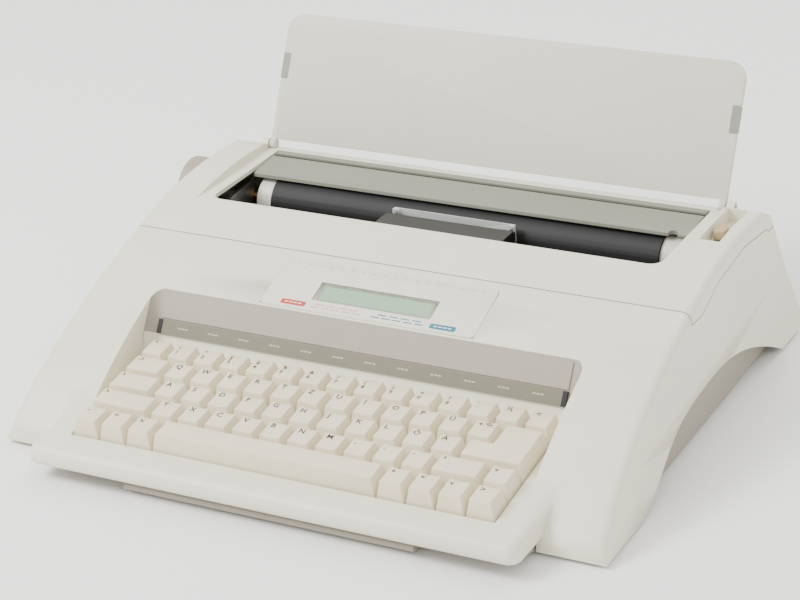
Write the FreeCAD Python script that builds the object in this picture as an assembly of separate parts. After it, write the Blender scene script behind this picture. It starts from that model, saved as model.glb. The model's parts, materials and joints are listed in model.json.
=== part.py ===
"""Electronic daisy-wheel typewriter, modelled as its separate pieces.

The model is laid out in a working frame: X to the typist's right, Y to the back, Z up, with
x = 0 in the middle of the key block, y = 0 on the space bar's row and z = 0 on the table.
On export everything moves so that the origin is the middle of the footprint.
"""
import FreeCAD
import Part
import math
import os
from FreeCAD import Vector

# ---------------------------------------------------------------- driving dimensions, mm
CASE_HALF = 204.5          # half the case's width at its foot
CASE_SHOULDER_HALF = 196.0  # half the case's width at the shoulder
CASE_TOP = 102.8           # highest point of the closed casing
CASE_REAR = 331.0          # rearmost point of the casing
WALL = 2.8                 # moulded wall
SKIRT_Z = 2.5              # lower edge of the side skirts
SHOULDER_RADIUS = 6.0

KEY_PITCH = 19.05
KEY_ROWS = 5
KEY_COLUMNS = 15
KEY_TILT = 7.5             # degrees, the keyboard rises to the back
KEY_TOP_Z = 36.0           # key tops on the space bar's row
KEY_ABOVE_BEZEL = 10.0
KEY_HEIGHT = 12.5
KEY_TRAVEL = 3.0
KEY_GAP = 0.9              # between neighbouring key skirts
KEY_TAPER_SIDE = 2.5
KEY_TAPER_FRONT = 3.0
KEY_TAPER_BACK = 1.0
KEY_HOLLOW_FRONT = 3.8     # from the skirt's front to the hollow, so that the wall stays whole
KEY_HOLLOW_SIDE = 3.3      # and from its flanks
WELL_CLEARANCE = 0.8
STEM_RADIUS = 2.6
STEM_CLEARANCE = 0.3

RECESS_HALF = 150.0        # half-width of the keyboard recess
RECESS_CORNER = 7.0        # radius of its two back corners
WING_FRONT = 4.5           # front of the side wings
TRAY_HALF = 164.5
TRAY_FRONT = -28.9         # foremost point of the rounded tray nose
TRAY_BOTTOM = 11.3
TRAY_RADIUS = 7.0
TRAY_LEAN = 23.2           # degrees the tray's front face leans out over its foot
STRIP_HALF = 139.5
STRIP_THICKNESS = 1.6
STRIP_CLIP = 3.0
STRIP_LOW = (92.0, 47.0)    # y and z of the function strip's lower edge
STRIP_HIGH = (97.0, 55.0)   # and of its upper edge, where the dark panel starts
PANEL_HIGH = (107.2, 71.32)  # top edge of the dark panel, on the crown

SEAM_GAP = 0.5
SEAM_Y = 155.5
COVER_HINGE_Z = 86.0
COVER_REAR = 296.0

PLATEN_RADIUS = 17.0
PLATEN_HALF = 141.4
PLATEN_Y = 254.0
PLATEN_Z = 74.5
PLATEN_CORE_RADIUS = 12.0
SHAFT_RADIUS = 4.0
RUNNING_FIT = 0.05
CURVED_GAP = 0.3
HUB_LENGTH = 12.0
KNOB_RADIUS = 21.5
KNOB_LENGTH = 14.5
KNOB_GAP = 4.0

BAY_HALF = 160.0           # half-width of the opening over the platen
BAY_FRONT = 194.0
BAY_REAR = 283.0
COVER_AXIS_Y = 299.6        # hinge line of the cover, outside the rear wall
COVER_AXIS_Z = 86.2
COVER_HINGE_X = 130.0
COVER_PIN_RADIUS = 1.2
COVER_KNUCKLE_RADIUS = 2.6
LID_HALF = 168.0
LID_LENGTH = 92.0
LID_THICKNESS = 3.0
LID_HINGE_Y = 288.0
LID_HINGE_Z = 99.6
LID_LEAN = 26.8            # degrees the raised lid leans back from upright
LID_CLEARANCE = 1.2
LID_PIN_RADIUS = 1.8
LID_CORNER = 12.0

FRAME_X = 163.0            # inner face of each side frame
FRAME_PLATE = 2.0
ROD_RADIUS = 4.0
ROD_Y = 188.0
ROD_Z = 60.0
RAIL_Z = 30.0
CARRIAGE_HALF = 32.0
WHEEL_RADIUS = 32.0
WHEEL_GAP = 5.0            # wheel plane to platen

GEAR_MODULE = 0.8
PLATEN_TEETH = 36
MOTOR_TEETH = 12
GEAR_WIDTH = 4.0
MOTOR_RADIUS = 8.5

PAN_HALF = 194.0
PAN_WALL = 2.5
PAN_RIM = 40.0             # top of the pan's side walls
PAN_Z = 3.0                # underside of the pan, which is also the height of the feet
FOOT_RADIUS = 9.0
SCREW_RADIUS = 1.6
BOSS_RADIUS = 4.5

HANDLE_HALF = 98.0
HANDLE_THICKNESS = 5.0
HANDLE_FRONT = -23.0
HANDLE_BOTTOM = 2.6
HANDLE_TOP = HANDLE_BOTTOM + HANDLE_THICKNESS
HANDLE_CLEARANCE = 0.6

PANEL_FRONT_Y = 109.5       # front edge of the display's pocket floor
PANEL_FRONT_Z = 71.5
PANEL_SLOPE = 20.0
DISPLAY_HALF = 74.5
DISPLAY_LENGTH = 41.5
DISPLAY_THICKNESS = 1.2
LCD_HALF = 41.5
LCD_FRONT = 9.0
LCD_BACK = 25.0
POCKET_X0, POCKET_X1 = 172.8, 186.0
POCKET_FRONT, POCKET_REAR = 229.0, 280.0
POCKET_FLOOR = 93.5
LEVER_X0, LEVER_X1 = 175.5, 182.5
LEVER_Y = 252.0
LEVER_PIVOT_Z = 52.0
BAIL_PIVOT_Y = 272.0
BAIL_PIVOT_Z = 90.0
BAIL_HALF = 158.5
ROLLER_PLACES = (-105.0, -35.0, 35.0, 105.0)  # x of the four pinch rollers
CHUTE_Z = 95.0
PETALS = 32
BELT_Z = 62.0
PLATE_THICKNESS = 1.4
BOARD_THICKNESS = 1.4
UNIT_BACK = CASE_REAR - 8.0
SWITCH_Y = UNIT_BACK - 6.0
LED_U, LED_V, LED_RADIUS = 146.4, 38.1, 1.4

# ---------------------------------------------------------------- derived places
TILT = math.radians(KEY_TILT)
BEZEL_Z = KEY_TOP_Z - KEY_ABOVE_BEZEL / math.cos(TILT)
BLOCK_HALF = KEY_COLUMNS * KEY_PITCH / 2
BLOCK_FRONT = -KEY_PITCH / 2
BLOCK_BACK = (KEY_ROWS - 0.5) * KEY_PITCH
KNOB_OUTER_X = -(CASE_SHOULDER_HALF + KNOB_GAP + KNOB_LENGTH)
PLATEN_FRONT = PLATEN_Y - PLATEN_RADIUS
WHEEL_Y = PLATEN_FRONT - WHEEL_GAP
WHEEL_Z = PLATEN_Z - WHEEL_RADIUS + 2.0
HAMMER_Z = PLATEN_Z - 4.0
CHUTE_REAR = BAY_REAR - 0.5
PLATE_TOP = -KEY_HEIGHT - KEY_TRAVEL - 0.8
STEM_LOW = PLATE_TOP - PLATE_THICKNESS - 1.0
BOARD_TOP = STEM_LOW - KEY_TRAVEL - 0.5
NOSE_ANGLE = math.radians(90.0 - TRAY_LEAN + KEY_TILT)
NOSE_DIP = math.radians((90.0 - TRAY_LEAN - KEY_TILT) / 2)
NOSE_SETBACK = TRAY_RADIUS * (math.cos(NOSE_DIP) / math.sin(NOSE_ANGLE / 2) - 1)
TRAY_TIP = TRAY_FRONT - NOSE_SETBACK  # sharp corner that the nose is rounded from
ORIGIN = Vector((KNOB_OUTER_X + CASE_HALF) / 2, (TRAY_FRONT + CASE_REAR) / 2, 0)

parts = {}


# ---------------------------------------------------------------- shape helpers
def box(x0, x1, y0, y1, z0, z1):
    """Block between two corners."""
    return Part.makeBox(x1 - x0, y1 - y0, z1 - z0, Vector(x0, y0, z0))


def prism_x(points, x0, x1):
    """Side outline of (y, z) points, carried from x0 to x1."""
    ring = [Vector(x0, y, z) for y, z in points]
    face = Part.Face(Part.makePolygon(ring + ring[:1]))
    return face.extrude(Vector(x1 - x0, 0, 0))


def prism_y(points, y0, y1):
    """Front outline of (x, z) points, carried from y0 to y1."""
    ring = [Vector(x, y0, z) for x, z in points]
    face = Part.Face(Part.makePolygon(ring + ring[:1]))
    return face.extrude(Vector(0, y1 - y0, 0))


def rod_x(y, z, radius, x0, x1):
    """Round bar along X."""
    return Part.makeCylinder(radius, x1 - x0, Vector(x0, y, z), Vector(1, 0, 0))


def rod_y(x, z, radius, y0, y1):
    """Round bar along Y."""
    return Part.makeCylinder(radius, y1 - y0, Vector(x, y0, z), Vector(0, 1, 0))


def rod_z(x, y, radius, z0, z1):
    """Round bar along Z."""
    return Part.makeCylinder(radius, z1 - z0, Vector(x, y, z0), Vector(0, 0, 1))


def group(shapes):
    """Several solids that share one node."""
    solids = []
    for shape in shapes:
        solids.extend(shape.Solids)
    return Part.makeCompound(solids)


def fuse(first, *rest):
    """One clean solid from pieces that overlap."""
    return first.multiFuse(list(rest)).removeSplitter()


def tilted(shape):
    """Carry a shape from the flat key plane (u, v, w) to its place under the typist's hands."""
    turned = shape.copy()
    turned.rotate(Vector(0, 0, 0), Vector(1, 0, 0), KEY_TILT)
    turned.translate(Vector(0, 0, KEY_TOP_Z))
    return turned


def edges_where(shape, test):
    """Edges whose middle point passes a test."""
    chosen = []
    for edge in shape.Edges:
        middle = edge.valueAt((edge.FirstParameter + edge.LastParameter) / 2)
        if test(middle, edge):
            chosen.append(edge)
    return chosen


def bezel_z(y):
    """Height of the keyboard bezel."""
    return BEZEL_Z + math.tan(TILT) * y


# ---------------------------------------------------------------- casing
def side_outline(inset, foot):
    """Face in the YZ plane that the casing fills, drawn in by an inset."""
    slope = math.radians(31.0)
    front = Vector(0, WING_FRONT + inset, foot)
    nose = Vector(0, WING_FRONT + inset, 9.0 - inset * 0.4)
    top = [(30.0, 31.0), (60.0, 49.5), (100.0, 68.5), (145.0, 85.0), (190.0, CASE_TOP - 5.5),
           (240.0, CASE_TOP), (281.0, CASE_TOP - 0.8)]
    lean = [slope, 0.52, 0.40, 0.33, 0.20, 0.05, -0.10]
    crown = [nose]
    for (y, z), angle in zip(top, lean):
        crown.append(Vector(0, y + inset * math.sin(angle), z - inset * math.cos(angle)))
    curve = Part.BSplineCurve()
    curve.interpolate(crown)
    back_top = Vector(0, COVER_REAR - 2.6 - inset, COVER_HINGE_Z + 9.0 - inset)
    back_mid = Vector(0, CASE_REAR - 11.0 - inset, 36.0)
    back_low = Vector(0, CASE_REAR - inset, 12.0)
    back_foot = Vector(0, CASE_REAR - 4.0 - inset, foot)
    edges = [Part.makeLine(front, nose), curve.toShape()]
    corner = [crown[-1], back_top, back_mid, back_low, back_foot, front]
    for start, end in zip(corner, corner[1:]):
        edges.append(Part.makeLine(start, end))
    return Part.Face(Part.Wire(edges))


def width_prism(inset, foot):
    """Drafted width of the casing, wide at the foot and narrower at the shoulder."""
    roof = CASE_TOP + 10.0
    half = [(CASE_HALF, foot), (CASE_HALF - 5.0, 42.0), (CASE_SHOULDER_HALF + 0.8, 75.0),
            (CASE_SHOULDER_HALF - 0.5, roof)]
    flanks = []
    for side in (1, -1):
        curve = Part.BSplineCurve()
        curve.interpolate([Vector(side * (x - inset), -50.0, z) for x, z in half])
        flanks.append(curve.toShape())
    ends = []
    for z, index in ((foot, 0), (roof, -1)):
        x = half[index][0] - inset
        ends.append(Part.makeLine(Vector(-x, -50.0, z), Vector(x, -50.0, z)))
    ring = Part.__sortEdges__(flanks + ends)
    face = Part.Face(Part.Wire(ring))
    return face.extrude(Vector(0, CASE_REAR + 100.0, 0))


def recess_cut(grow):
    """Space over the keyboard, back to the function strip and the dark panel."""
    outline = [(TRAY_TIP - 30.0, bezel_z(TRAY_TIP - 30.0) - grow), (88.0, bezel_z(88.0) - grow),
               (STRIP_LOW[0] + grow, STRIP_LOW[1]), (PANEL_HIGH[0] + 2.0 + grow, PANEL_HIGH[1] + 3.2),
               (70.0, 150.0),
               (TRAY_TIP - 30.0, 150.0)]
    half = RECESS_HALF + grow
    cut = prism_x(outline, -half, half)

    def corner(middle, edge):
        return abs(middle.x) > half - 0.1 and middle.y > 89.0 and middle.z < PANEL_HIGH[1]

    return cut.makeFillet(RECESS_CORNER + grow, edges_where(cut, corner))


def tray_block(inset, foot):
    """Projecting keyboard tray with its rounded nose."""
    back = 110.0
    front = TRAY_TIP + inset
    half = TRAY_HALF - inset
    tip_z = bezel_z(front) - inset
    foot_y = front + (tip_z - foot) * math.tan(math.radians(TRAY_LEAN))
    outline = [(foot_y, foot), (front, tip_z), (back, bezel_z(back) - inset), (back, foot)]
    block = prism_x(outline, -half, half)
    radius = TRAY_RADIUS - inset

    def rounded(middle, edge):
        on_top = abs(middle.z - (bezel_z(middle.y) - inset)) < 0.1 and middle.y < back - 1
        on_corner = abs(abs(middle.x) - half) < 0.1 and middle.y < front + 5.0
        return on_top or on_corner

    return block.makeFillet(radius, edges_where(block, rounded))


def case_block(inset, foot):
    """Whole casing as one block, before it is hollowed."""
    side = side_outline(inset, foot).extrude(Vector(2 * CASE_HALF + 20, 0, 0))
    side.translate(Vector(-CASE_HALF - 10, 0, 0))
    block = side.common(width_prism(inset, foot))
    if inset == 0:
        def shoulder(middle, edge):
            return abs(middle.x) > CASE_SHOULDER_HALF - 4 and edge.BoundBox.ZLength > 60

        block = block.makeFillet(SHOULDER_RADIUS, edges_where(block, shoulder))
    block = block.cut(recess_cut(inset))
    tray = tray_block(inset, foot if inset else TRAY_BOTTOM)
    return block.fuse(tray).removeSplitter()


def arch_cut():
    """Arched cut under each flank, through which the dark pan shows."""
    low = -10.0
    start = Vector(-CASE_HALF - 20, 60.0, low)
    points = [(62.0, SKIRT_Z), (86.0, 13.0), (117.0, 28.0), (160.0, 35.0), (214.0, 33.5),
              (262.0, 18.0), (292.0, SKIRT_Z)]
    ring = [Vector(start.x, y, z) for y, z in points]
    curve = Part.BSplineCurve()
    curve.interpolate(ring)
    last = Vector(start.x, 294.0, low)
    edges = [Part.makeLine(start, ring[0]), curve.toShape(), Part.makeLine(ring[-1], last),
             Part.makeLine(last, start)]
    face = Part.Face(Part.Wire(edges))
    return face.extrude(Vector(2 * CASE_HALF + 40, 0, 0))


def cover_region(gap):
    """Everything above and behind the cover's seam."""
    edge = SEAM_Y + gap
    outline = [(edge, 200.0), (edge, 80.5 + gap), (172.0, 79.5 + gap), (200.0, 88.5 + gap),
               (245.0, 93.0 + gap), (285.0, 88.5 + gap), (COVER_REAR - 8, COVER_HINGE_Z + gap),
               (COVER_REAR + 60, COVER_HINGE_Z + gap), (COVER_REAR + 60, 200.0)]
    return prism_x(outline, -CASE_HALF - 30, CASE_HALF + 30)


def boss_places():
    """Four screw posts that join the casing to the pan."""
    places = []
    for side in (-1, 1):
        places.append((side * 180.0, 40.0))
        places.append((side * 180.0, CASE_REAR - 44.0))
    return places


def knuckle(x0, x1, radius, web_z):
    """Hinge knuckle on the cover's axis, with a web that reaches in to the wall at web_z."""
    barrel = rod_x(COVER_AXIS_Y, COVER_AXIS_Z, radius, x0, x1)
    z0, z1 = sorted((COVER_AXIS_Z + math.copysign(0.4, web_z), COVER_AXIS_Z + web_z))
    return barrel.fuse(box(x0, x1, COVER_AXIS_Y - 4.5, COVER_AXIS_Y, z0, z1))


def hinge_cover(lower, cover):
    """Two hinges behind the cover, each a cover knuckle between two on the case."""
    for side in (-1, 1):
        middle = side * COVER_HINGE_X
        x0, x1 = middle - 5.0, middle + 5.0
        room = COVER_KNUCKLE_RADIUS + 0.4
        lower = lower.cut(rod_x(COVER_AXIS_Y, COVER_AXIS_Z, room, x0 - 0.3, x1 + 0.3))
        cover = cover.cut(rod_x(COVER_AXIS_Y, COVER_AXIS_Z, room, x0 - 6.3, x0))
        cover = cover.cut(rod_x(COVER_AXIS_Y, COVER_AXIS_Z, room, x1, x1 + 6.3))
        for near in (x0 - 6.0, x1 + 0.3):
            lower = lower.fuse(knuckle(near, near + 5.7, COVER_KNUCKLE_RADIUS, -2.4))
        cover = cover.fuse(knuckle(x0, x1, COVER_KNUCKLE_RADIUS, 2.4))
        lower = lower.cut(rod_x(COVER_AXIS_Y, COVER_AXIS_Z, COVER_PIN_RADIUS, x0 - 7, x1 + 7))
        loose = COVER_PIN_RADIUS + RUNNING_FIT
        cover = cover.cut(rod_x(COVER_AXIS_Y, COVER_AXIS_Z, loose, x0 - 1, x1 + 1))
    return lower, cover


def build_casing():
    """Lower case and top cover, split along the seam."""
    outer = case_block(0.0, SKIRT_Z)
    inner = case_block(WALL, -20.0)
    shell = outer.cut(inner)

    lower = shell.cut(cover_region(0.0)).cut(arch_cut())
    well = box(-BLOCK_HALF - WELL_CLEARANCE, BLOCK_HALF + WELL_CLEARANCE,
               BLOCK_FRONT - WELL_CLEARANCE, BLOCK_BACK + WELL_CLEARANCE,
               -KEY_ABOVE_BEZEL - 12.0, -KEY_ABOVE_BEZEL + 6.0)
    lower = lower.cut(tilted(well))
    for x, y in boss_places():
        post = rod_z(x, y, BOSS_RADIUS, PAN_Z + PAN_WALL, 60.0)
        ends = sorted((x, math.copysign(CASE_HALF, x)))
        web = box(ends[0], ends[1], y - 1.2, y + 1.2, PAN_RIM + 3.0, 60.0)
        post = post.fuse(web).common(outer)
        lower = lower.fuse(post)
        lower = lower.cut(rod_z(x, y, SCREW_RADIUS + RUNNING_FIT, 0.0, 16.0))
    lower = lower.cut(rod_x(PLATEN_Y, PLATEN_Z, SHAFT_RADIUS + 2.0, -CASE_HALF - 5, -150.0))
    seat = panel_block(DISPLAY_HALF + 0.1, -0.1, DISPLAY_LENGTH + 0.1, 0.0, 8.0)
    window = panel_block(LCD_HALF - 3.0, LCD_FRONT + 2.0, LCD_BACK - 2.0, -12.0, 6.0)
    lower = lower.cut(seat).cut(window)
    lower = lower.cut(tilted(rod_z(-LED_U, LED_V, LED_RADIUS + 0.2, -25.0, 5.0)))
    lower = lower.cut(inlet_block(0.3, 30.0)).cut(switch_block(0.3, 30.0))
    cover = shell.common(cover_region(SEAM_GAP))
    ledge_z = LID_HINGE_Z - LID_THICKNESS / 2 - LID_CLEARANCE / 2
    tub_half = LID_HALF + LID_CLEARANCE + WALL
    tub = box(-tub_half, tub_half, BAY_FRONT - WALL, COVER_REAR, ledge_z - WALL, CASE_TOP + 5)
    pocket_tub = box(POCKET_X0 - WALL, POCKET_X1 + WALL, POCKET_FRONT - WALL, POCKET_REAR + WALL,
                     POCKET_FLOOR - WALL, CASE_TOP + 5)
    cover = cover.fuse(outer.common(tub)).fuse(outer.common(pocket_tub))
    lid_space = box(-LID_HALF - LID_CLEARANCE, LID_HALF + LID_CLEARANCE, BAY_FRONT - 4,
                    COVER_REAR + 20, ledge_z, CASE_TOP + 20)
    bay = box(-BAY_HALF, BAY_HALF, BAY_FRONT, BAY_REAR, 50.0, CASE_TOP + 20)
    bay = bay.makeFillet(8.0, edges_where(bay, lambda m, e: e.BoundBox.ZLength > 20 and m.y < 200))
    pocket = box(POCKET_X0, POCKET_X1, POCKET_FRONT, POCKET_REAR, POCKET_FLOOR, CASE_TOP + 20)
    slot = box(LEVER_X0 - 1, LEVER_X1 + 1, LEVER_Y - 21, LEVER_Y + 12, 70.0, CASE_TOP)
    cover = cover.cut(lid_space).cut(bay).cut(pocket).cut(slot)
    for side in (-1, 1):
        near = side * (LID_HALF + LID_CLEARANCE)
        far = side * (LID_HALF + LID_CLEARANCE + 5.0)
        ear = rod_x(LID_HINGE_Y, LID_HINGE_Z, LID_PIN_RADIUS + 1.9, min(near, far), max(near, far))
        root = box(min(near, far), max(near, far), LID_HINGE_Y - 3.7, LID_HINGE_Y + 3.7,
                   ledge_z - WALL, LID_HINGE_Z)
        cover = cover.fuse(ear.fuse(root))
        knuckle = sorted((side * (LID_HALF - 4.6), near))
        cover = cover.cut(rod_x(LID_HINGE_Y, LID_HINGE_Z, LID_PIN_RADIUS + 2.1, *knuckle))
        hole = rod_x(LID_HINGE_Y, LID_HINGE_Z, LID_PIN_RADIUS, min(near, far), max(near, far))
        cover = cover.cut(hole)
    lower, cover = hinge_cover(lower, cover)
    parts["lower_case"] = lower.removeSplitter()
    parts["top_cover"] = cover.removeSplitter()


def panel_block(half, v0, v1, w0, w1):
    """Block on the sloping display panel: v up the slope, w out of it."""
    block = box(-half, half, v0, v1, w0, w1)
    block.rotate(Vector(0, 0, 0), Vector(1, 0, 0), PANEL_SLOPE)
    block.translate(Vector(0, PANEL_FRONT_Y, PANEL_FRONT_Z))
    return block


def inlet_block(grow, reach=0.0):
    """Mains inlet body in the rear wall; reach carries it on past the wall as a cutter."""
    return box(-150.0 - grow, -122.0 + grow, UNIT_BACK - 24.0 - grow, UNIT_BACK + reach,
               14.0 - grow, 34.0 + grow)


def switch_block(grow, reach=0.0):
    """Power switch body in the rear wall; reach carries it on past the wall as a cutter."""
    return box(-112.0 - grow, -90.0 + grow, UNIT_BACK - 24.0 - grow, UNIT_BACK + reach,
               16.0 - grow, 30.0 + grow)


def build_base():
    """Dark base pan with its feet, screws and slide-out handle."""
    low = [(TRAY_TIP + 7.0, TRAY_BOTTOM), (4.0, PAN_Z), (CASE_REAR - 31.0, PAN_Z),
           (CASE_REAR - 17.0, 9.0), (CASE_REAR - 17.0, 30.0), (240.0, PAN_RIM), (110.0, PAN_RIM),
           (60.0, 16.0), (TRAY_TIP + 7.0, TRAY_BOTTOM + 3.0)]
    high = [(TRAY_TIP + 9.5, TRAY_BOTTOM + PAN_WALL + 0.4), (4.4, PAN_Z + PAN_WALL),
            (CASE_REAR - 32.0, PAN_Z + PAN_WALL), (CASE_REAR - 19.5, 10.2), (CASE_REAR - 19.5, 60.0),
            (TRAY_TIP + 9.5, 60.0)]
    pan = prism_x(low, -PAN_HALF, PAN_HALF)
    pan = pan.cut(prism_x(high, -PAN_HALF + PAN_WALL, PAN_HALF - PAN_WALL))
    narrow = TRAY_HALF - WALL - 1.0
    for side in (-1, 1):
        ends = sorted((side * narrow, side * (PAN_HALF + 5)))
        pan = pan.cut(box(ends[0], ends[1], TRAY_TIP, WING_FRONT + 13.0, 0.0, 30.0))
    screws = []
    for x, y in boss_places():
        pan = pan.cut(rod_z(x, y, SCREW_RADIUS + 0.2, 0.0, 12.0))
        shank = rod_z(x, y, SCREW_RADIUS, 4.2, 15.0)
        head = rod_z(x, y, 3.2, 3.2, 4.4)
        pan = pan.cut(rod_z(x, y, 3.4, 0.0, 4.4))
        screws.append(fuse(shank, head))
    parts["case_screws"] = group(screws)
    feet = []
    for x in (-165.0, 165.0):
        for y in (34.0, CASE_REAR - 46.0):
            feet.append(rod_z(x, y, FOOT_RADIUS, 0.0, PAN_Z))
    parts["rubber_feet"] = group(feet)

    half = HANDLE_HALF + HANDLE_CLEARANCE
    roof_z = HANDLE_TOP + HANDLE_CLEARANCE
    pan = pan.cut(box(-half, half, TRAY_TIP, 58.0, 0.0, roof_z))
    guides = [box(-half - 4.0, half + 4.0, -12.0, 60.0, roof_z, roof_z + 2.0),
              box(-half, half, 58.0, 60.0, PAN_Z, roof_z)]
    for side in (-1, 1):
        inner, outer = sorted((side * half, side * (half + 4.0)))
        guides.append(box(inner, outer, 6.0, 60.0, HANDLE_BOTTOM - 1.4, roof_z + 1.0))
        inner, outer = sorted((side * (half - 8.0), side * (half + 4.0)))
        guides.append(box(inner, outer, 6.0, 60.0, HANDLE_BOTTOM - 1.4, HANDLE_BOTTOM - 0.4))
    pan = pan.fuse(guides)
    pan = pan.cut(inlet_block(0.4)).cut(switch_block(0.4))
    parts["base_pan"] = pan.removeSplitter()

    grip = box(-HANDLE_HALF, HANDLE_HALF, HANDLE_FRONT, HANDLE_FRONT + 14.0, HANDLE_BOTTOM,
               HANDLE_TOP)
    grip = grip.makeFillet(2.0, edges_where(grip, lambda m, e: e.Length > 100))
    arms = []
    for side in (-1, 1):
        inner, outer = sorted((side * (HANDLE_HALF - 12.0), side * HANDLE_HALF))
        arms.append(box(inner, outer, HANDLE_FRONT + 8.0, 54.0, HANDLE_BOTTOM, HANDLE_TOP))
    parts["carry_handle"] = fuse(grip, *arms)


# ---------------------------------------------------------------- keyboard
def cap_blank(outline, top_inset):
    """Tapered key cap over a flat outline of (u, v) corners, each with its inward direction."""
    base = []
    top = []
    for u, v, du, dv in outline:
        base.append(Vector(u, v, -KEY_HEIGHT))
        front_back = KEY_TAPER_FRONT if dv > 0 else KEY_TAPER_BACK
        top.append(Vector(u + du * top_inset, v + dv * front_back, 0.0))
    wires = [Part.makePolygon(base + base[:1]), Part.makePolygon(top + top[:1])]
    return Part.makeLoft(wires, True, True)


def key_centre(column, row):
    """Middle of a key on the key plane; row 0 is the space bar's, columns count from the left."""
    return column * KEY_PITCH - BLOCK_HALF, row * KEY_PITCH


def key_cap(column, width, row, dished=True):
    """One rectangular key: cap, dish and stem, in the flat key plane."""
    u0, v = key_centre(column, row)
    u1 = u0 + width * KEY_PITCH
    left = u0 + KEY_GAP / 2
    right = u1 - KEY_GAP / 2
    front = v - KEY_PITCH / 2 + KEY_GAP / 2
    back = v + KEY_PITCH / 2 - KEY_GAP / 2
    outline = [(left, front, 1, 1), (right, front, -1, 1), (right, back, -1, -1), (left, back, 1, -1)]
    cap = cap_blank(outline, KEY_TAPER_SIDE)
    middle = (u0 + u1) / 2
    radius = 34.0
    sink = 0.9
    if dished and width < 3:
        bowl = Part.makeCylinder(radius, KEY_PITCH * 2,
                                 Vector(middle, v - KEY_PITCH, radius - sink), Vector(0, 1, 0))
        if width < 1.3:
            cap = cap.cut(bowl)
    room = box(left + KEY_HOLLOW_SIDE, right - KEY_HOLLOW_SIDE, front + KEY_HOLLOW_FRONT, back - 1.8,
               -KEY_HEIGHT - 1, -3.2)
    cap = cap.cut(room)
    stems = [middle] if width < 3 else [left + 12.0, middle, right - 12.0]
    for place in stems:
        cap = cap.fuse(rod_z(place, v, STEM_RADIUS, STEM_LOW, -2.6))
    return cap.removeSplitter()


def return_cap():
    """Return key: a wide lower part with a narrower part above it."""
    u0, v0 = key_centre(12.75, 2)
    u1 = u0 + 2.25 * KEY_PITCH - KEY_GAP / 2
    u_step = key_centre(13.5, 2)[0] + KEY_GAP / 2
    low = v0 - KEY_PITCH / 2 + KEY_GAP / 2
    mid = v0 + KEY_PITCH / 2 - KEY_GAP / 2
    high = v0 + 1.5 * KEY_PITCH - KEY_GAP / 2
    left = u0 + KEY_GAP / 2
    outline = [(left, low, 1, 1), (u1, low, -1, 1), (u1, high, -1, -1), (u_step, high, 1, -1),
               (u_step, mid, 1, -1), (left, mid, 1, -1)]
    cap = cap_blank(outline, KEY_TAPER_SIDE)
    room = box(u_step + KEY_HOLLOW_SIDE, u1 - KEY_HOLLOW_SIDE, low + KEY_HOLLOW_FRONT, high - 1.8,
               -KEY_HEIGHT - 1, -3.2)
    cap = cap.cut(room)
    place = (u_step + u1) / 2
    return fuse(cap, rod_z(place, v0 + KEY_PITCH / 2, STEM_RADIUS, STEM_LOW, -2.6))


# columns are counted in key pitches from the left edge of the block
KEY_ROWS_LAYOUT = {
    "number_row_keys": [(column, 1.0, 4) for column in range(14)],
    "upper_row_keys": [(1.5 + column, 1.0, 3) for column in range(12)],
    "home_row_keys": [(1.75 + column, 1.0, 2) for column in range(11)],
    "lower_row_keys": [(2.25 + column, 1.0, 1) for column in range(10)] + [(14.0, 1.0, 1)],
    "bottom_row_keys": [(column, 1.0, 0) for column in (0, 1, 2, 11, 12, 13, 14)],
    "backspace_key": [(14.0, 1.0, 4)],
    "tab_key": [(0.0, 1.5, 3)],
    "shift_lock_key": [(0.0, 1.75, 2)],
    "left_shift_key": [(0.0, 2.25, 1)],
    "right_shift_key": [(12.25, 1.75, 1)],
    "space_bar": [(3.0, 8.0, 0)],
}


def stem_places():
    """Every key stem on the key plane."""
    places = []
    for keys in KEY_ROWS_LAYOUT.values():
        for column, width, row in keys:
            u0, v = key_centre(column, row)
            middle = u0 + width * KEY_PITCH / 2
            if width < 3:
                places.append((middle, v))
            else:
                reach = width * KEY_PITCH / 2 - KEY_GAP / 2 - 12.0
                places.extend([(middle - reach, v), (middle, v), (middle + reach, v)])
    u_step = key_centre(13.5, 2)[0] + KEY_GAP / 2
    u1 = key_centre(15.0, 2)[0] - KEY_GAP / 2
    places.append(((u_step + u1) / 2, 2.5 * KEY_PITCH))
    return places


def build_keyboard():
    """Key caps, guide plate, contact board and rubber domes."""
    for name, keys in KEY_ROWS_LAYOUT.items():
        caps = [tilted(key_cap(column, width, row)) for column, width, row in keys]
        parts[name] = group(caps)
    parts["return_key"] = tilted(return_cap())

    edge = 5.5
    plate = box(-BLOCK_HALF - edge, BLOCK_HALF + edge, BLOCK_FRONT - 1.0, BLOCK_BACK + 2.0,
                PLATE_TOP - PLATE_THICKNESS, PLATE_TOP)
    holes = []
    domes = []
    for u, v in stem_places():
        holes.append(rod_z(u, v, STEM_RADIUS + STEM_CLEARANCE, PLATE_TOP - 5, PLATE_TOP + 5))
        dome = Part.makeCone(4.2, 2.4, STEM_LOW - 0.1 - BOARD_TOP, Vector(u, v, BOARD_TOP))
        domes.append(tilted(dome))
    plate = plate.cut(Part.makeCompound(holes))
    rim = []
    hang = -KEY_ABOVE_BEZEL - WALL * 1.02 - 0.1
    for u in (-BLOCK_HALF - edge, BLOCK_HALF + edge - 3.0):
        rim.append(box(u, u + 3.0, BLOCK_FRONT, BLOCK_BACK, BOARD_TOP, hang))
    parts["key_plate"] = tilted(plate.fuse(rim).removeSplitter())
    parts["key_domes"] = group(domes)
    board = box(-BLOCK_HALF - edge, BLOCK_HALF + edge, BLOCK_FRONT, BLOCK_BACK + edge,
                BOARD_TOP - BOARD_THICKNESS, BOARD_TOP)
    parts["key_board"] = tilted(board)
    parts["lock_light"] = tilted(rod_z(-LED_U, LED_V, LED_RADIUS, -KEY_ABOVE_BEZEL - 2.6,
                                       -KEY_ABOVE_BEZEL + 0.4))


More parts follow.
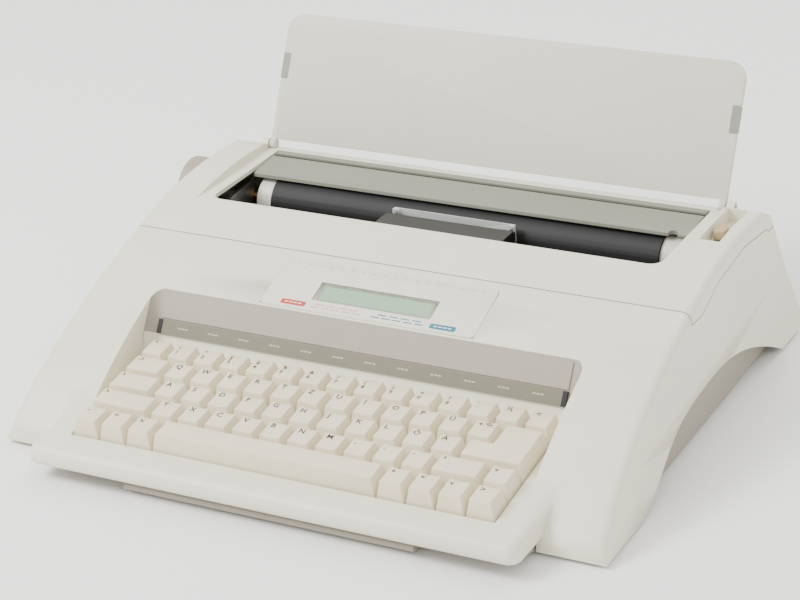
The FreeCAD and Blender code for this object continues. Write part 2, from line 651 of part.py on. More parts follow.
# ---------------------------------------------------------------- panels and display
def build_panels():
    """Function strip, dark panel, display overlay, glass and its module."""
    def sheet(low, high, half0, half1, thick):
        """Flat strip lying on the sloping back wall of the recess."""
        dy = high[0] - low[0]
        dz = high[1] - low[1]
        length = math.hypot(dy, dz)
        out = (-dz / length * thick, dy / length * thick)
        outline = [low, high, (high[0] + out[0], high[1] + out[1]), (low[0] + out[0], low[1] + out[1])]
        return prism_x(outline, half0, half1)

    strip = sheet(STRIP_LOW, STRIP_HIGH, -STRIP_HALF, STRIP_HALF, STRIP_THICKNESS)
    ends = []
    for side in (-1, 1):
        x0, x1 = sorted((side * STRIP_HALF, side * (STRIP_HALF + STRIP_CLIP)))
        ends.append(sheet(STRIP_LOW, STRIP_HIGH, x0, x1, STRIP_THICKNESS + 0.4))
    parts["function_strip"] = group([strip] + ends)
    half = RECESS_HALF - RECESS_CORNER - 1.0
    rise = (PANEL_HIGH[0] - STRIP_HIGH[0], PANEL_HIGH[1] - STRIP_HIGH[1])
    low = (STRIP_HIGH[0] + 0.05 * rise[0], STRIP_HIGH[1] + 0.05 * rise[1])
    high = (STRIP_HIGH[0] + 0.93 * rise[0], STRIP_HIGH[1] + 0.93 * rise[1])
    parts["recess_panel"] = sheet(low, high, -half, half, 0.8)

    overlay = panel_block(DISPLAY_HALF, 0.0, DISPLAY_LENGTH, 0.0, DISPLAY_THICKNESS)
    corners = edges_where(overlay, lambda m, e: abs(e.Length - DISPLAY_THICKNESS) < 0.01)
    overlay = overlay.makeFillet(3.0, corners)
    overlay = overlay.cut(panel_block(LCD_HALF, LCD_FRONT, LCD_BACK, -5.0, 6.0))
    parts["display_overlay"] = overlay
    window_top = DISPLAY_THICKNESS - 0.1
    parts["display_window"] = panel_block(LCD_HALF - 0.1, LCD_FRONT + 0.1, LCD_BACK - 0.1, 0.0, window_top)
    glass = panel_block(LCD_HALF - 3.2, LCD_FRONT + 2.2, LCD_BACK - 2.2, -4.6, -0.1)
    board = panel_block(LCD_HALF + 8.0, LCD_FRONT - 6.0, LCD_BACK + 6.0, -6.4, -4.7)
    parts["display_module"] = group([glass, board])


# ---------------------------------------------------------------- lid
def lid_turned(shape):
    """Carry a lid laid out flat (u across, v away from the hinge, w up) to its raised pose."""
    turned = shape.copy()
    turned.rotate(Vector(0, 0, 0), Vector(1, 0, 0), 90.0 - LID_LEAN)
    turned.translate(Vector(0, LID_HINGE_Y, LID_HINGE_Z))
    return turned


def build_lid():
    """Lid that folds back to hold the paper, with its pins."""
    top = LID_THICKNESS / 2
    sheet = box(-LID_HALF, LID_HALF, 0.0, LID_LENGTH, -top, top)
    corners = edges_where(sheet, lambda m, e: abs(e.Length - LID_THICKNESS) < 0.01 and m.y > 10)
    sheet = sheet.makeFillet(LID_CORNER, corners)
    sheet = sheet.cut(box(-LID_HALF + 4.0, LID_HALF - 4.0, -1.0, 3.6, -9.0, 9.0))
    for side in (-1, 1):
        ear = rod_x(0.0, 0.0, LID_PIN_RADIUS + 1.6, *sorted((side * (LID_HALF - 4.0), side * LID_HALF)))
        sheet = sheet.fuse(ear)
        bore = rod_x(0.0, 0.0, LID_PIN_RADIUS + RUNNING_FIT,
                     *sorted((side * (LID_HALF - 9.0), side * (LID_HALF + 1.0))))
        sheet = sheet.cut(bore)
    parts["paper_support"] = lid_turned(sheet.removeSplitter())
    pins = []
    for side in (-1, 1):
        ends = sorted((side * (LID_HALF - 3.6), side * (LID_HALF + LID_CLEARANCE + 3.0)))
        pins.append(rod_x(LID_HINGE_Y, LID_HINGE_Z, LID_PIN_RADIUS, *ends))
    parts["support_pins"] = group(pins)


# ---------------------------------------------------------------- platen and paper feed
def gear(teeth, x0, x1, y, z, bore, turn=0.0):
    """Spur gear whose axis runs along X, with straight-sided teeth."""
    pitch = GEAR_MODULE * teeth / 2
    tip = pitch + GEAR_MODULE * 0.9
    root = pitch - GEAR_MODULE * 1.15
    step = 2 * math.pi / teeth
    ring = []
    for index in range(teeth):
        base = index * step + turn
        for share, radius in ((-0.30, root), (-0.13, tip), (0.13, tip), (0.30, root)):
            angle = base + share * step
            ring.append((y + radius * math.cos(angle), z + radius * math.sin(angle)))
    blank = prism_x(ring, x0, x1)
    return blank.cut(rod_x(y, z, bore, x0 - 1, x1 + 1))


def build_platen():
    """Rubber platen, its core, hubs, gear, knob and bearings."""
    y, z = PLATEN_Y, PLATEN_Z
    rubber = rod_x(y, z, PLATEN_RADIUS, -PLATEN_HALF, PLATEN_HALF)
    parts["platen_rubber"] = rubber.cut(rod_x(y, z, PLATEN_CORE_RADIUS, -PLATEN_HALF - 1, PLATEN_HALF + 1))
    core = rod_x(y, z, PLATEN_CORE_RADIUS, -PLATEN_HALF, PLATEN_HALF)
    shaft_end = FRAME_X + FRAME_PLATE + GEAR_WIDTH + 4.0
    shaft = rod_x(y, z, SHAFT_RADIUS, KNOB_OUTER_X + 3.0, shaft_end)
    parts["platen_shaft"] = fuse(core, shaft)
    hubs = []
    for side in (-1, 1):
        ends = sorted((side * (PLATEN_HALF + 0.2), side * (PLATEN_HALF + HUB_LENGTH)))
        hub = rod_x(y, z, PLATEN_RADIUS - 2.0, *ends)
        hubs.append(hub.cut(rod_x(y, z, SHAFT_RADIUS, ends[0] - 1, ends[1] + 1)))
    parts["platen_hubs"] = group(hubs)

    bearings = []
    for side in (-1, 1):
        ends = sorted((side * (FRAME_X - 1.5), side * (FRAME_X + FRAME_PLATE + 1.0)))
        ring = rod_x(y, z, SHAFT_RADIUS + 3.0, *ends)
        bearings.append(ring.cut(rod_x(y, z, SHAFT_RADIUS + RUNNING_FIT, ends[0] - 1, ends[1] + 1)))
    parts["platen_bearings"] = group(bearings)

    gear_x = FRAME_X + FRAME_PLATE + 1.6
    parts["platen_gear"] = gear(PLATEN_TEETH, gear_x, gear_x + GEAR_WIDTH, y, z, SHAFT_RADIUS)
    reach = GEAR_MODULE * (PLATEN_TEETH + MOTOR_TEETH) / 2 + 0.15
    pinion_y = y - reach
    gap_turn = math.pi / MOTOR_TEETH
    pinion = gear(MOTOR_TEETH, gear_x, gear_x + GEAR_WIDTH, pinion_y, z, 1.5, gap_turn)
    motor_x = gear_x + GEAR_WIDTH + 0.6
    spindle = rod_x(pinion_y, z, 1.5, gear_x, motor_x + 8.0)
    parts["feed_motor_pinion"] = pinion.fuse(spindle).removeSplitter()
    motor = rod_x(pinion_y, z, MOTOR_RADIUS, motor_x, motor_x + 17.0)
    bracket = box(FRAME_X + FRAME_PLATE, motor_x + 4.0, pinion_y - MOTOR_RADIUS - 4.0,
                  pinion_y - MOTOR_RADIUS + 2.0, z - 5.0, z + 2.0)
    motor = motor.fuse(bracket)
    parts["feed_motor"] = motor.cut(rod_x(pinion_y, z, 1.5 + RUNNING_FIT, motor_x - 1,
                                          motor_x + 8.2)).removeSplitter()

    knob = rod_x(y, z, KNOB_RADIUS, KNOB_OUTER_X, KNOB_OUTER_X + KNOB_LENGTH)
    knob = knob.makeFillet(2.4, edges_where(knob, lambda m, e: e.BoundBox.XLength < 0.01
                                            and m.x < KNOB_OUTER_X + 1))
    knob = knob.cut(rod_x(y, z, SHAFT_RADIUS, KNOB_OUTER_X + 3.0, KNOB_OUTER_X + KNOB_LENGTH + 1))
    parts["platen_knob"] = knob

    feed_radius = 6.0
    feed_z = z - PLATEN_RADIUS - CURVED_GAP - feed_radius
    rollers = [rod_x(y, feed_z, 2.0, -FRAME_X - 1.0, FRAME_X + 1.0)]
    windows = []
    for middle in ROLLER_PLACES:
        rollers.append(rod_x(y, feed_z, feed_radius, middle - 12.0, middle + 12.0))
        windows.append(box(middle - 13.5, middle + 13.5, y - 9.0, y + 9.0, feed_z - 10.0,
                           z - PLATEN_RADIUS + 1.5))
    parts["feed_rollers"] = fuse(*rollers)
    near = PLATEN_RADIUS + 1.2
    trough = rod_x(y, z, near + 1.2, -PLATEN_HALF + 2.0, PLATEN_HALF - 2.0)
    trough = trough.cut(rod_x(y, z, near, -PLATEN_HALF, PLATEN_HALF))
    trough = trough.cut(box(-PLATEN_HALF, PLATEN_HALF, y - 40.0, y + 40.0, z + 4.0, z + 40.0))
    trough = trough.cut(box(-PLATEN_HALF, PLATEN_HALF, y - 40.0, y, z - 9.0, z + 40.0))
    chute = prism_x([(y + near, z + 3.8), (y + near + 1.2, z + 3.8), (CHUTE_REAR, CHUTE_Z),
                     (CHUTE_REAR, CHUTE_Z + 1.2), (CHUTE_REAR - 3.0, CHUTE_Z + 1.2)],
                    -PLATEN_HALF + 2.0, PLATEN_HALF - 2.0)
    trough = trough.fuse(chute)
    ties = []
    for side in (-1, 1):
        ends = sorted((side * (PLATEN_HALF - 4.0), side * (FRAME_X - 0.2)))
        ties.append(box(ends[0], ends[1], y + near + 0.1, y + near + 3.0, z - 12.0, z - 2.0))
    trough = trough.fuse(ties)
    parts["paper_trough"] = trough.cut(Part.makeCompound(windows)).removeSplitter()


def build_frames():
    """Side frames, guide rod and rear rail of the print mechanism."""
    outline = [(150.0, 6.0), (300.0, 6.0), (300.0, 70.0), (280.0, 93.6), (266.0, 93.6), (248.0, 86.0), (225.0, 86.0),
               (178.0, 74.0), (150.0, 40.0)]
    for side, name in ((-1, "left_side_frame"), (1, "right_side_frame")):
        ends = sorted((side * FRAME_X, side * (FRAME_X + FRAME_PLATE)))
        frame = prism_x(outline, *ends)
        frame = frame.cut(rod_x(PLATEN_Y, PLATEN_Z, SHAFT_RADIUS + 3.0, ends[0] - 1, ends[1] + 1))
        frame = frame.cut(rod_x(ROD_Y, ROD_Z, ROD_RADIUS, ends[0] - 1, ends[1] + 1))
        feed_z = PLATEN_Z - PLATEN_RADIUS - CURVED_GAP - 6.0
        frame = frame.cut(rod_x(PLATEN_Y, feed_z, 2.0 + RUNNING_FIT, ends[0] - 1, ends[1] + 1))
        frame = frame.cut(rod_x(BAIL_PIVOT_Y, BAIL_PIVOT_Z, 2.0, ends[0] - 1, ends[1] + 1))
        foot_x = sorted((side * FRAME_X, side * (FRAME_X - 10.0)))
        foot = box(foot_x[0], foot_x[1], 156.0, 290.0, PAN_Z + PAN_WALL, PAN_Z + PAN_WALL + 2.0)
        web = box(ends[0], ends[1], 156.0, 290.0, PAN_Z + PAN_WALL, 8.0)
        parts[name] = fuse(frame, foot, web)
    end = FRAME_X + FRAME_PLATE + 2.0
    bar = rod_x(ROD_Y, ROD_Z, ROD_RADIUS, -end, end)
    rail = box(-FRAME_X + 0.1, FRAME_X - 0.1, ROD_Y - 4.0, ROD_Y + 4.0, RAIL_Z - 1.0, RAIL_Z + 1.0)
    parts["carriage_rails"] = group([bar, rail])


def build_bail():
    """Paper bail: the flap over the platen with its small rollers."""
    front = PLATEN_Y - 7.5
    rear = LID_HINGE_Y - 14.0
    outline = [(front, 92.4), (front + 0.4, 94.6), (front + 5.0, 95.8), (rear, 97.0), (rear, 94.8),
               (front + 7.0, 93.0)]
    flap = prism_x(outline, -BAIL_HALF, BAIL_HALF)
    flap = flap.cut(rod_z(148.0, front + 0.5, 3.2, 80.0, 110.0))
    pieces = [flap]
    for side in (-1, 1):
        ends = sorted((side * (BAIL_HALF - 2.5), side * BAIL_HALF))
        arm = prism_x([(BAIL_PIVOT_Y - 4.0, 86.5), (BAIL_PIVOT_Y + 2.0, 86.5), (BAIL_PIVOT_Y + 2.0, 96.0),
                       (BAIL_PIVOT_Y - 6.0, 95.0)], *ends)
        pieces.append(arm)
    bail = fuse(*pieces)
    for side in (-1, 1):
        ends = sorted((side * (BAIL_HALF - 4.0), side * (BAIL_HALF + 1.0)))
        bail = bail.cut(rod_x(BAIL_PIVOT_Y, BAIL_PIVOT_Z, 2.0 + RUNNING_FIT, *ends))
    parts["paper_bail"] = bail
    pins = []
    for side in (-1, 1):
        ends = sorted((side * (BAIL_HALF - 3.0), side * (FRAME_X + FRAME_PLATE)))
        pins.append(rod_x(BAIL_PIVOT_Y, BAIL_PIVOT_Z, 2.0, *ends))
    outer = FRAME_X + FRAME_PLATE
    pins.append(rod_x(LEVER_Y, LEVER_PIVOT_Z, 2.0, outer, LEVER_X1))
    for side in (-1, 1):
        middle = side * COVER_HINGE_X
        pins.append(rod_x(COVER_AXIS_Y, COVER_AXIS_Z, COVER_PIN_RADIUS, middle - 11.0, middle + 11.0))
    parts["pivot_pins"] = group(pins)
    low = CHUTE_Z + 1.2
    ridge = box(-BAIL_HALF, BAIL_HALF, rear + 3.0, CHUTE_REAR, low, low + 1.4)
    parts["paper_trough"] = group([parts["paper_trough"], ridge])


def build_carriage():
    """Carriage with print wheel, hammer, ribbon and card holder, and what drives it."""
    half = CARRIAGE_HALF
    top = 80.0
    back = ROD_Y - 8.2
    block = box(-half, half, back, ROD_Y + 9.0, ROD_Z - 8.0, ROD_Z + 8.0)
    block = block.fuse(box(-half, half, ROD_Y + 5.0, WHEEL_Y - 9.0, ROD_Z + 1.6, ROD_Z + 3.6))
    block = block.cut(rod_x(ROD_Y, ROD_Z, ROD_RADIUS + RUNNING_FIT, -half - 1, half + 1))
    leg = box(-8.0, 8.0, back, ROD_Y - 4.6, RAIL_Z - 6.0, ROD_Z - 4.6)
    shoe_low = box(-8.0, 8.0, back, ROD_Y + 2.0, RAIL_Z - 4.0, RAIL_Z - 1.4)
    shoe_high = box(-8.0, 8.0, back, ROD_Y + 2.0, RAIL_Z + 1.4, RAIL_Z + 4.0)
    frame = box(-half, half, WHEEL_Y - 11.0, WHEEL_Y - 9.0, WHEEL_Z - 16.0, top)
    frame = frame.cut(rod_y(0.0, HAMMER_Z, 1.4 + RUNNING_FIT, WHEEL_Y - 20, WHEEL_Y))
    frame = frame.cut(rod_y(0.0, WHEEL_Z, 3.0, WHEEL_Y - 20, WHEEL_Y))
    parts["carriage"] = fuse(block, leg, shoe_low, shoe_high, frame)

    motor = rod_y(0.0, WHEEL_Z, 13.0, WHEEL_Y - 27.0, WHEEL_Y - 11.0)
    parts["wheel_motor"] = motor.cut(rod_y(0.0, WHEEL_Z, 2.0 + RUNNING_FIT, WHEEL_Y - 20.0, WHEEL_Y))
    disc = rod_y(0.0, WHEEL_Z, WHEEL_RADIUS * 0.55, WHEEL_Y - 0.5, WHEEL_Y + 0.5)
    petals = [disc]
    for index in range(PETALS):
        petal = box(-0.7, 0.7, WHEEL_Y - 0.4, WHEEL_Y + 0.4, WHEEL_Z + WHEEL_RADIUS * 0.5,
                    WHEEL_Z + WHEEL_RADIUS)
        petal.rotate(Vector(0, WHEEL_Y, WHEEL_Z), Vector(0, 1, 0), index * 360.0 / PETALS)
        petals.append(petal)
    hub = rod_y(0.0, WHEEL_Z, 7.0, WHEEL_Y - 3.0, WHEEL_Y + 1.5)
    spindle = rod_y(0.0, WHEEL_Z, 2.0, WHEEL_Y - 19.5, WHEEL_Y)
    parts["print_wheel"] = fuse(*petals, hub, spindle)

    solenoid = rod_y(0.0, HAMMER_Z, 5.0, WHEEL_Y - 26.0, WHEEL_Y - 11.0)
    coil = solenoid.cut(rod_y(0.0, HAMMER_Z, 1.4 + RUNNING_FIT, WHEEL_Y - 27.0, WHEEL_Y))
    parts["carriage"] = group([parts["carriage"], coil])
    parts["print_hammer"] = rod_y(0.0, HAMMER_Z, 1.4, WHEEL_Y - 24.0, WHEEL_Y - 2.2)

    cassette = box(-46.0, 46.0, ROD_Y + 6.0, WHEEL_Y - 4.0, top, top + 9.0)
    for side in (-1, 1):
        horn = sorted((side * 34.0, side * 44.0))
        cassette = cassette.fuse(box(horn[0], horn[1], WHEEL_Y - 6.0, WHEEL_Y + 2.4, top, top + 6.0))
    ribbon = box(-40.0, 40.0, WHEEL_Y + 2.4, WHEEL_Y + 2.7, top - 9.0, top + 5.0)
    parts["ribbon_cassette"] = group([cassette.removeSplitter(), ribbon])
    spools = []
    for side in (-1, 1):
        spool = rod_z(side * 21.0, WHEEL_Y - 19.0, 7.0, top - 8.0, top)
        spools.append(spool)
    parts["correction_spools"] = group(spools)
    card = box(-44.0, 44.0, WHEEL_Y + 3.2, WHEEL_Y + 4.0, top - 16.0, top + 10.0)
    card = card.cut(box(-14.0, 14.0, WHEEL_Y, WHEEL_Y + 6.0, top - 12.0, top + 4.0))
    for side in (-1, 1):
        post = sorted((side * 40.0, side * 44.0))
        card = card.fuse(box(post[0], post[1], WHEEL_Y + 0.5, WHEEL_Y + 3.6, top + 6.0, top + 10.0))
    parts["card_holder"] = card.removeSplitter()

    pulley_x = FRAME_X - 16.0
    belt_y = ROD_Y - 16.0
    radius = 6.0
    for side, name in ((-1, "drive_pulley"), (1, "idler_pulley")):
        wheel = rod_z(side * pulley_x, belt_y, radius, BELT_Z - 3.0, BELT_Z + 3.0)
        bore = 1.5 if side < 0 else 1.5 + RUNNING_FIT
        wheel = wheel.cut(rod_z(side * pulley_x, belt_y, bore, BELT_Z - 5, BELT_Z + 5))
        if side < 0:
            wheel = wheel.fuse(rod_z(side * pulley_x, belt_y, 1.5, BELT_Z - 12.0, BELT_Z + 3.0))
        parts[name] = wheel.removeSplitter()
    motor = rod_z(-pulley_x, belt_y, 10.5, PAN_Z + PAN_WALL + 2.0, BELT_Z - 5.0)
    parts["carriage_motor"] = motor.cut(rod_z(-pulley_x, belt_y, 1.5 + RUNNING_FIT, BELT_Z - 12.5, BELT_Z))
    post = rod_z(pulley_x, belt_y, 5.0, PAN_Z + PAN_WALL - 1.0, BELT_Z - 3.4)
    pin = rod_z(pulley_x, belt_y, 1.5, BELT_Z - 6.0, BELT_Z + 4.0)
    parts["base_pan"] = fuse(parts["base_pan"], post, pin)
    near = radius + CURVED_GAP
    far = near + 1.2
    loop = rod_z(-pulley_x, belt_y, far, BELT_Z - 2.5, BELT_Z + 2.5)
    loop = loop.fuse(rod_z(pulley_x, belt_y, far, BELT_Z - 2.5, BELT_Z + 2.5))
    loop = loop.fuse(box(-pulley_x, pulley_x, belt_y - far, belt_y + far, BELT_Z - 2.5, BELT_Z + 2.5))
    hole = rod_z(-pulley_x, belt_y, near, BELT_Z - 5, BELT_Z + 5)
    hole = hole.fuse(rod_z(pulley_x, belt_y, near, BELT_Z - 5, BELT_Z + 5))
    hole = hole.fuse(box(-pulley_x, pulley_x, belt_y - near, belt_y + near, BELT_Z - 5, BELT_Z + 5))
    parts["carriage_belt"] = loop.cut(hole).removeSplitter()


def build_electrics():
    """Main board, transformer, inlet and power switch."""
    floor = PAN_Z + PAN_WALL
    board = box(-90.0, 120.0, 102.0, 152.0, floor + 6.0, floor + 7.6)
    posts = [board]
    for x in (-84.0, 114.0):
        for y in (107.0, 147.0):
            posts.append(rod_z(x, y, 2.5, floor, floor + 6.5))
    parts["main_board"] = fuse(*posts)
    core = box(-152.0, -104.0, 104.0, 144.0, floor, floor + 34.0)
    parts["transformer"] = core
    body = inlet_block(0.0)
    slot = box(-146.0, -126.0, UNIT_BACK - 12.0, CASE_REAR, 18.0, 30.0)
    housing = switch_block(0.0)
    well = box(-110.0, -92.0, SWITCH_Y - 7.0, CASE_REAR, 17.6, 28.4)
    parts["power_inlet_unit"] = group([body.cut(slot), housing.cut(well)])
    rocker = rod_x(SWITCH_Y, 23.0, 5.0, -109.5, -92.5)
    rocker = rocker.common(box(-120.0, -80.0, SWITCH_Y - 20.0, SWITCH_Y + 3.6, 0.0, 60.0))
    parts["power_rocker"] = rocker


def build_lever():
    """Paper release lever in the cover's right-hand pocket."""
    blade = prism_x([(LEVER_Y - 4.0, LEVER_PIVOT_Z - 5.0), (LEVER_Y + 4.0, LEVER_PIVOT_Z - 5.0),
                     (LEVER_Y + 2.0, 100.8), (LEVER_Y - 5.0, 101.4)], LEVER_X0 + 2.0, LEVER_X1 - 2.0)
    tip = prism_x([(LEVER_Y - 6.5, 95.0), (LEVER_Y + 3.5, 95.0), (LEVER_Y + 3.0, 101.4),
                   (LEVER_Y - 6.0, 101.4)], LEVER_X0, LEVER_X1)
    lever = fuse(blade, tip)
    parts["release_lever"] = lever.cut(rod_x(LEVER_Y, LEVER_PIVOT_Z, 2.0 + RUNNING_FIT, 160.0, 200.0))


def save(folder):
    """Write every piece, moved so that the origin is the middle of the footprint."""
    os.makedirs(folder, exist_ok=True)
    for name, shape in parts.items():
        placed = shape.copy()
        placed.translate(-ORIGIN)
        placed.exportStep(folder + "/" + name + ".step")


build_casing()
build_base()
build_keyboard()
build_panels()
build_lid()
build_platen()
build_frames()
build_bail()
build_carriage()
build_electrics()
build_lever()
save("parts")
for name, shape in parts.items():
    print(name, len(shape.Solids), shape.isValid(), round(shape.Volume / 1000.0, 2))
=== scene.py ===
"""Electronic daisy-wheel typewriter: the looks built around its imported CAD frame.

Each sub-assembly is a class that takes its places from the frame's own boxes, shapes its
meshes with bmesh and dresses them. Lengths are in metres unless a name ends in _mm.
"""

import json
import logging
import math
from collections.abc import Callable, Sequence
from dataclasses import dataclass, field
from enum import Enum

import bmesh
import bpy
from mathutils import Matrix, Vector

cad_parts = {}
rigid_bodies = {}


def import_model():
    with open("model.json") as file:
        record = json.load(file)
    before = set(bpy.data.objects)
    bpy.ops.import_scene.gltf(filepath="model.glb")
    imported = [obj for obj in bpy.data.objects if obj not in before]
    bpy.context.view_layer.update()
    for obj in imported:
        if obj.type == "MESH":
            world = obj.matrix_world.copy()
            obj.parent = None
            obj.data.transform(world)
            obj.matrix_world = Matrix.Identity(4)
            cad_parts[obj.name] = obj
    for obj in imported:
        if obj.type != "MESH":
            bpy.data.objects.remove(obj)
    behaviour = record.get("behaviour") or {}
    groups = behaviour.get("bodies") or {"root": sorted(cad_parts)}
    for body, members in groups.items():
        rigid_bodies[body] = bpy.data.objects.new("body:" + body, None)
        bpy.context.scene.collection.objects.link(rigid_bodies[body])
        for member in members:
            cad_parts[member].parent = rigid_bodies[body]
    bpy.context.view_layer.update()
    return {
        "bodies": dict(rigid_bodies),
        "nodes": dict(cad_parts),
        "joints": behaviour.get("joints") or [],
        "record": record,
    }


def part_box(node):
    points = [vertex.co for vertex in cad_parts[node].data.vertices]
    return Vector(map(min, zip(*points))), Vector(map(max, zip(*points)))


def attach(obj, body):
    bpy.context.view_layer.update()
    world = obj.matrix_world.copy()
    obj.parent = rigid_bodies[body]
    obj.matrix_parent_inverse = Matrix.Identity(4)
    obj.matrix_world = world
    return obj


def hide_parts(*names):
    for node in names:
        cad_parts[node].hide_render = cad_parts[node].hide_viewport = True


log = logging.getLogger("typewriter")

MM = 0.001
KEY_TILT = math.radians(7.5)
DISPLAY_SLOPE = math.radians(20.0)
FOLD_LEAN = math.radians(26.8)
INK_LIFT = 0.05 * MM
MERGE = 0.002 * MM
SMOOTH_ANGLE = math.radians(32.0)

EdgeTest = Callable[[bmesh.types.BMEdge], bool]


class Grain(Enum):
    """How a surface was made, as the size and strength of its relief."""

    SPARK_ERODED = (0.9, 0.06)
    FINE_SATIN = (0.6, 0.025)
    GLOSSY = (0.0, 0.0)
    GROUND = (0.35, 0.03)


def linear(hex_colour: str) -> tuple[float, float, float, float]:
    """Turn an sRGB hex colour to linear.

    Args:
        hex_colour: Colour such as "E3E1DA".

    Returns:
        Linear red, green, blue and an alpha of 1.
    """
    channels = [int(hex_colour[i : i + 2], 16) / 255.0 for i in (0, 2, 4)]
    turned = [c / 12.92 if c <= 0.04045 else ((c + 0.055) / 1.055) ** 2.4 for c in channels]
    return (turned[0], turned[1], turned[2], 1.0)


def add_node(
    tree: bpy.types.NodeTree,
    kind: str,
    settings: dict[str, object] | None = None,
    links: dict[str, bpy.types.NodeSocket] | None = None,
) -> bpy.types.Node:
    """Add a shader node with its settings and links.

    Args:
        tree: Node tree to add to.
        kind: Node type name.
        settings: Input values by socket name, or node attributes where no socket has the name.
        links: Output sockets by the name of the input they feed.

    Returns:
        The new node.
    """
    node = tree.nodes.new(kind)
    for name, value in (settings or {}).items():
        if name in node.inputs:
            node.inputs[name].default_value = value
        else:
            setattr(node, name, value)
    for name, socket in (links or {}).items():
        tree.links.new(socket, node.inputs[name])
    return node


@dataclass(frozen=True)
class Finish:
    """One finish: what the real material is, its colour and how it shines."""

    name: str
    colour: str
    slot: str
    roughness: float = 0.45
    metallic: float = 0.0
    ior: float = 1.5
    grain: Grain = Grain.FINE_SATIN
    mottle: float = 0.03
    coat: float = 0.0
    transmission: float = 0.0
    # emission strength for a part that is no lamp: painted light
    painted_glow: float = 0.0

    def material(self) -> bpy.types.Material:
        """Build the material, or return the one already built."""
        known = bpy.data.materials.get(self.name)
        if known:
            return known
        made = bpy.data.materials.new(self.name)
        made.use_nodes = True
        tree = made.node_tree
        tree.nodes.clear()
        shader = add_node(tree, "ShaderNodeBsdfPrincipled")
        add_node(tree, "ShaderNodeOutputMaterial", links={"Surface": shader.outputs["BSDF"]})
        base = linear(self.colour)
        made.diffuse_color = base
        shader.inputs["Base Color"].default_value = base
        shader.inputs["Roughness"].default_value = self.roughness
        shader.inputs["Metallic"].default_value = self.metallic
        if self.metallic == 0.0:
            shader.inputs["IOR"].default_value = self.ior
        if self.coat:
            shader.inputs["Coat Weight"].default_value = self.coat
            shader.inputs["Coat Roughness"].default_value = 0.08
        if self.transmission:
            shader.inputs["Transmission Weight"].default_value = self.transmission
        # painted light: the surface emits its own colour though it is no lamp
        if self.painted_glow:
            shader.inputs["Emission Color"].default_value = base
            shader.inputs["Emission Strength"].default_value = self.painted_glow
        place = add_node(tree, "ShaderNodeTexCoord").outputs["Object"]
        if self.mottle:
            self._mottle(tree, shader, place, base)
        size, strength = self.grain.value
        if strength:
            self._relief(tree, shader, place, size, strength)
        return made

    def _mottle(
        self,
        tree: bpy.types.NodeTree,
        shader: bpy.types.Node,
        place: bpy.types.NodeSocket,
        base: tuple[float, float, float, float],
    ) -> None:
        """Let the colour wander a little over about 60 mm, as aged plastic does."""
        cloud = add_node(tree, "ShaderNodeTexNoise", {"Scale": 1 / 0.06, "Detail": 3.0}, {"Vector": place})
        ramp = add_node(tree, "ShaderNodeValToRGB", links={"Fac": cloud.outputs["Fac"]})
        ends = ramp.color_ramp.elements
        ends[0].position, ends[1].position = 0.3, 0.7
        ends[0].color = (*[c * (1 - self.mottle) for c in base[:3]], 1.0)
        ends[1].color = (*[min(1.0, c * (1 + self.mottle * 0.6)) for c in base[:3]], 1.0)
        tree.links.new(ramp.outputs["Color"], shader.inputs["Base Color"])

    def _relief(
        self,
        tree: bpy.types.NodeTree,
        shader: bpy.types.Node,
        place: bpy.types.NodeSocket,
        size_mm: float,
        strength: float,
    ) -> None:
        """Give the surface its moulded or ground relief.

        Args:
            tree: The material's tree.
            shader: Shader that takes the normal.
            place: Object coordinates.
            size_mm: Distance between grains, drawn as coarse as it needs to show.
            strength: Strength of the bump.
        """
        grains = add_node(
            tree, "ShaderNodeTexNoise", {"Scale": 1 / (size_mm * MM), "Detail": 2.0}, {"Vector": place}
        )
        bump = add_node(
            tree,
            "ShaderNodeBump",
            {"Strength": strength, "Distance": 0.1 * MM},
            {"Height": grains.outputs["Fac"]},
        )
        tree.links.new(bump.outputs["Normal"], shader.inputs["Normal"])


# ABS moulded in spark-eroded tools: a soft even sheen over a fine grain
CASE = Finish("ivory_abs_moulded", "E4E0CC", "case_plastic", 0.42, grain=Grain.SPARK_ERODED)
COVER = Finish("ivory_abs_cover", "E5E1CE", "cover_plastic", 0.40, grain=Grain.SPARK_ERODED)
# double-shot key plastic, a little warmer and smoother than the casing
KEY = Finish("cream_key_abs", "E4DABF", "key_plastic", 0.46)
# taupe ABS of the pan, handle and knob
TAUPE = Finish("taupe_abs_moulded", "9A9384", "dark_taupe_plastic", 0.5, grain=Grain.SPARK_ERODED)
RECESS = Finish("recess_taupe_abs", "A0978B", "recess_plastic", 0.5)
STRIP = Finish("olive_grey_printed_strip", "706E5A", "strip_plastic", 0.42)
SUPPORT = Finish("grey_abs_paper_rest", "CFCBBC", "support_plastic", 0.45, grain=Grain.SPARK_ERODED)
OVERLAY = Finish("printed_polyester_film", "E2E0D2", "overlay_film", 0.34, grain=Grain.GLOSSY, mottle=0.0)
# clear acrylic over the display: gloss with no colour of its own
WINDOW = Finish("clear_acrylic", "F2F6F2", "clear_window", 0.06, ior=1.49, grain=Grain.GLOSSY,
                mottle=0.0, transmission=1.0)
# reflective glass with a faint emission, painted light since the display has no lamp of its own
GLASS = Finish("reflective_lcd_glass", "BFE0C4", "display_glass", 0.22, grain=Grain.GLOSSY, mottle=0.02,
               coat=0.6, painted_glow=0.3)
RUBBER = Finish("black_platen_rubber", "08090A", "platen_rubber", 0.62)
NYLON = Finish("white_nylon", "DEDACD", "nylon_white", 0.38, ior=1.53)
BRONZE = Finish("sintered_bronze", "8C6A3C", "bearing_bronze", 0.42, 1.0, grain=Grain.GROUND)
STEEL = Finish("ground_bright_steel", "B9BCBE", "bright_steel", 0.24, 1.0, grain=Grain.GROUND)
ZINC = Finish("zinc_plated_sheet", "A9ADAC", "zinc_plate", 0.4, 1.0, grain=Grain.GROUND)
ALLOY = Finish("drawn_alloy_tube", "B4B6B6", "alloy_tube", 0.34, 1.0, grain=Grain.GROUND)
BAIL = Finish("grey_green_abs", "86877A", "bail_plastic", 0.36)
BLACK = Finish("black_abs_moulded", "151617", "black_plastic", 0.42)
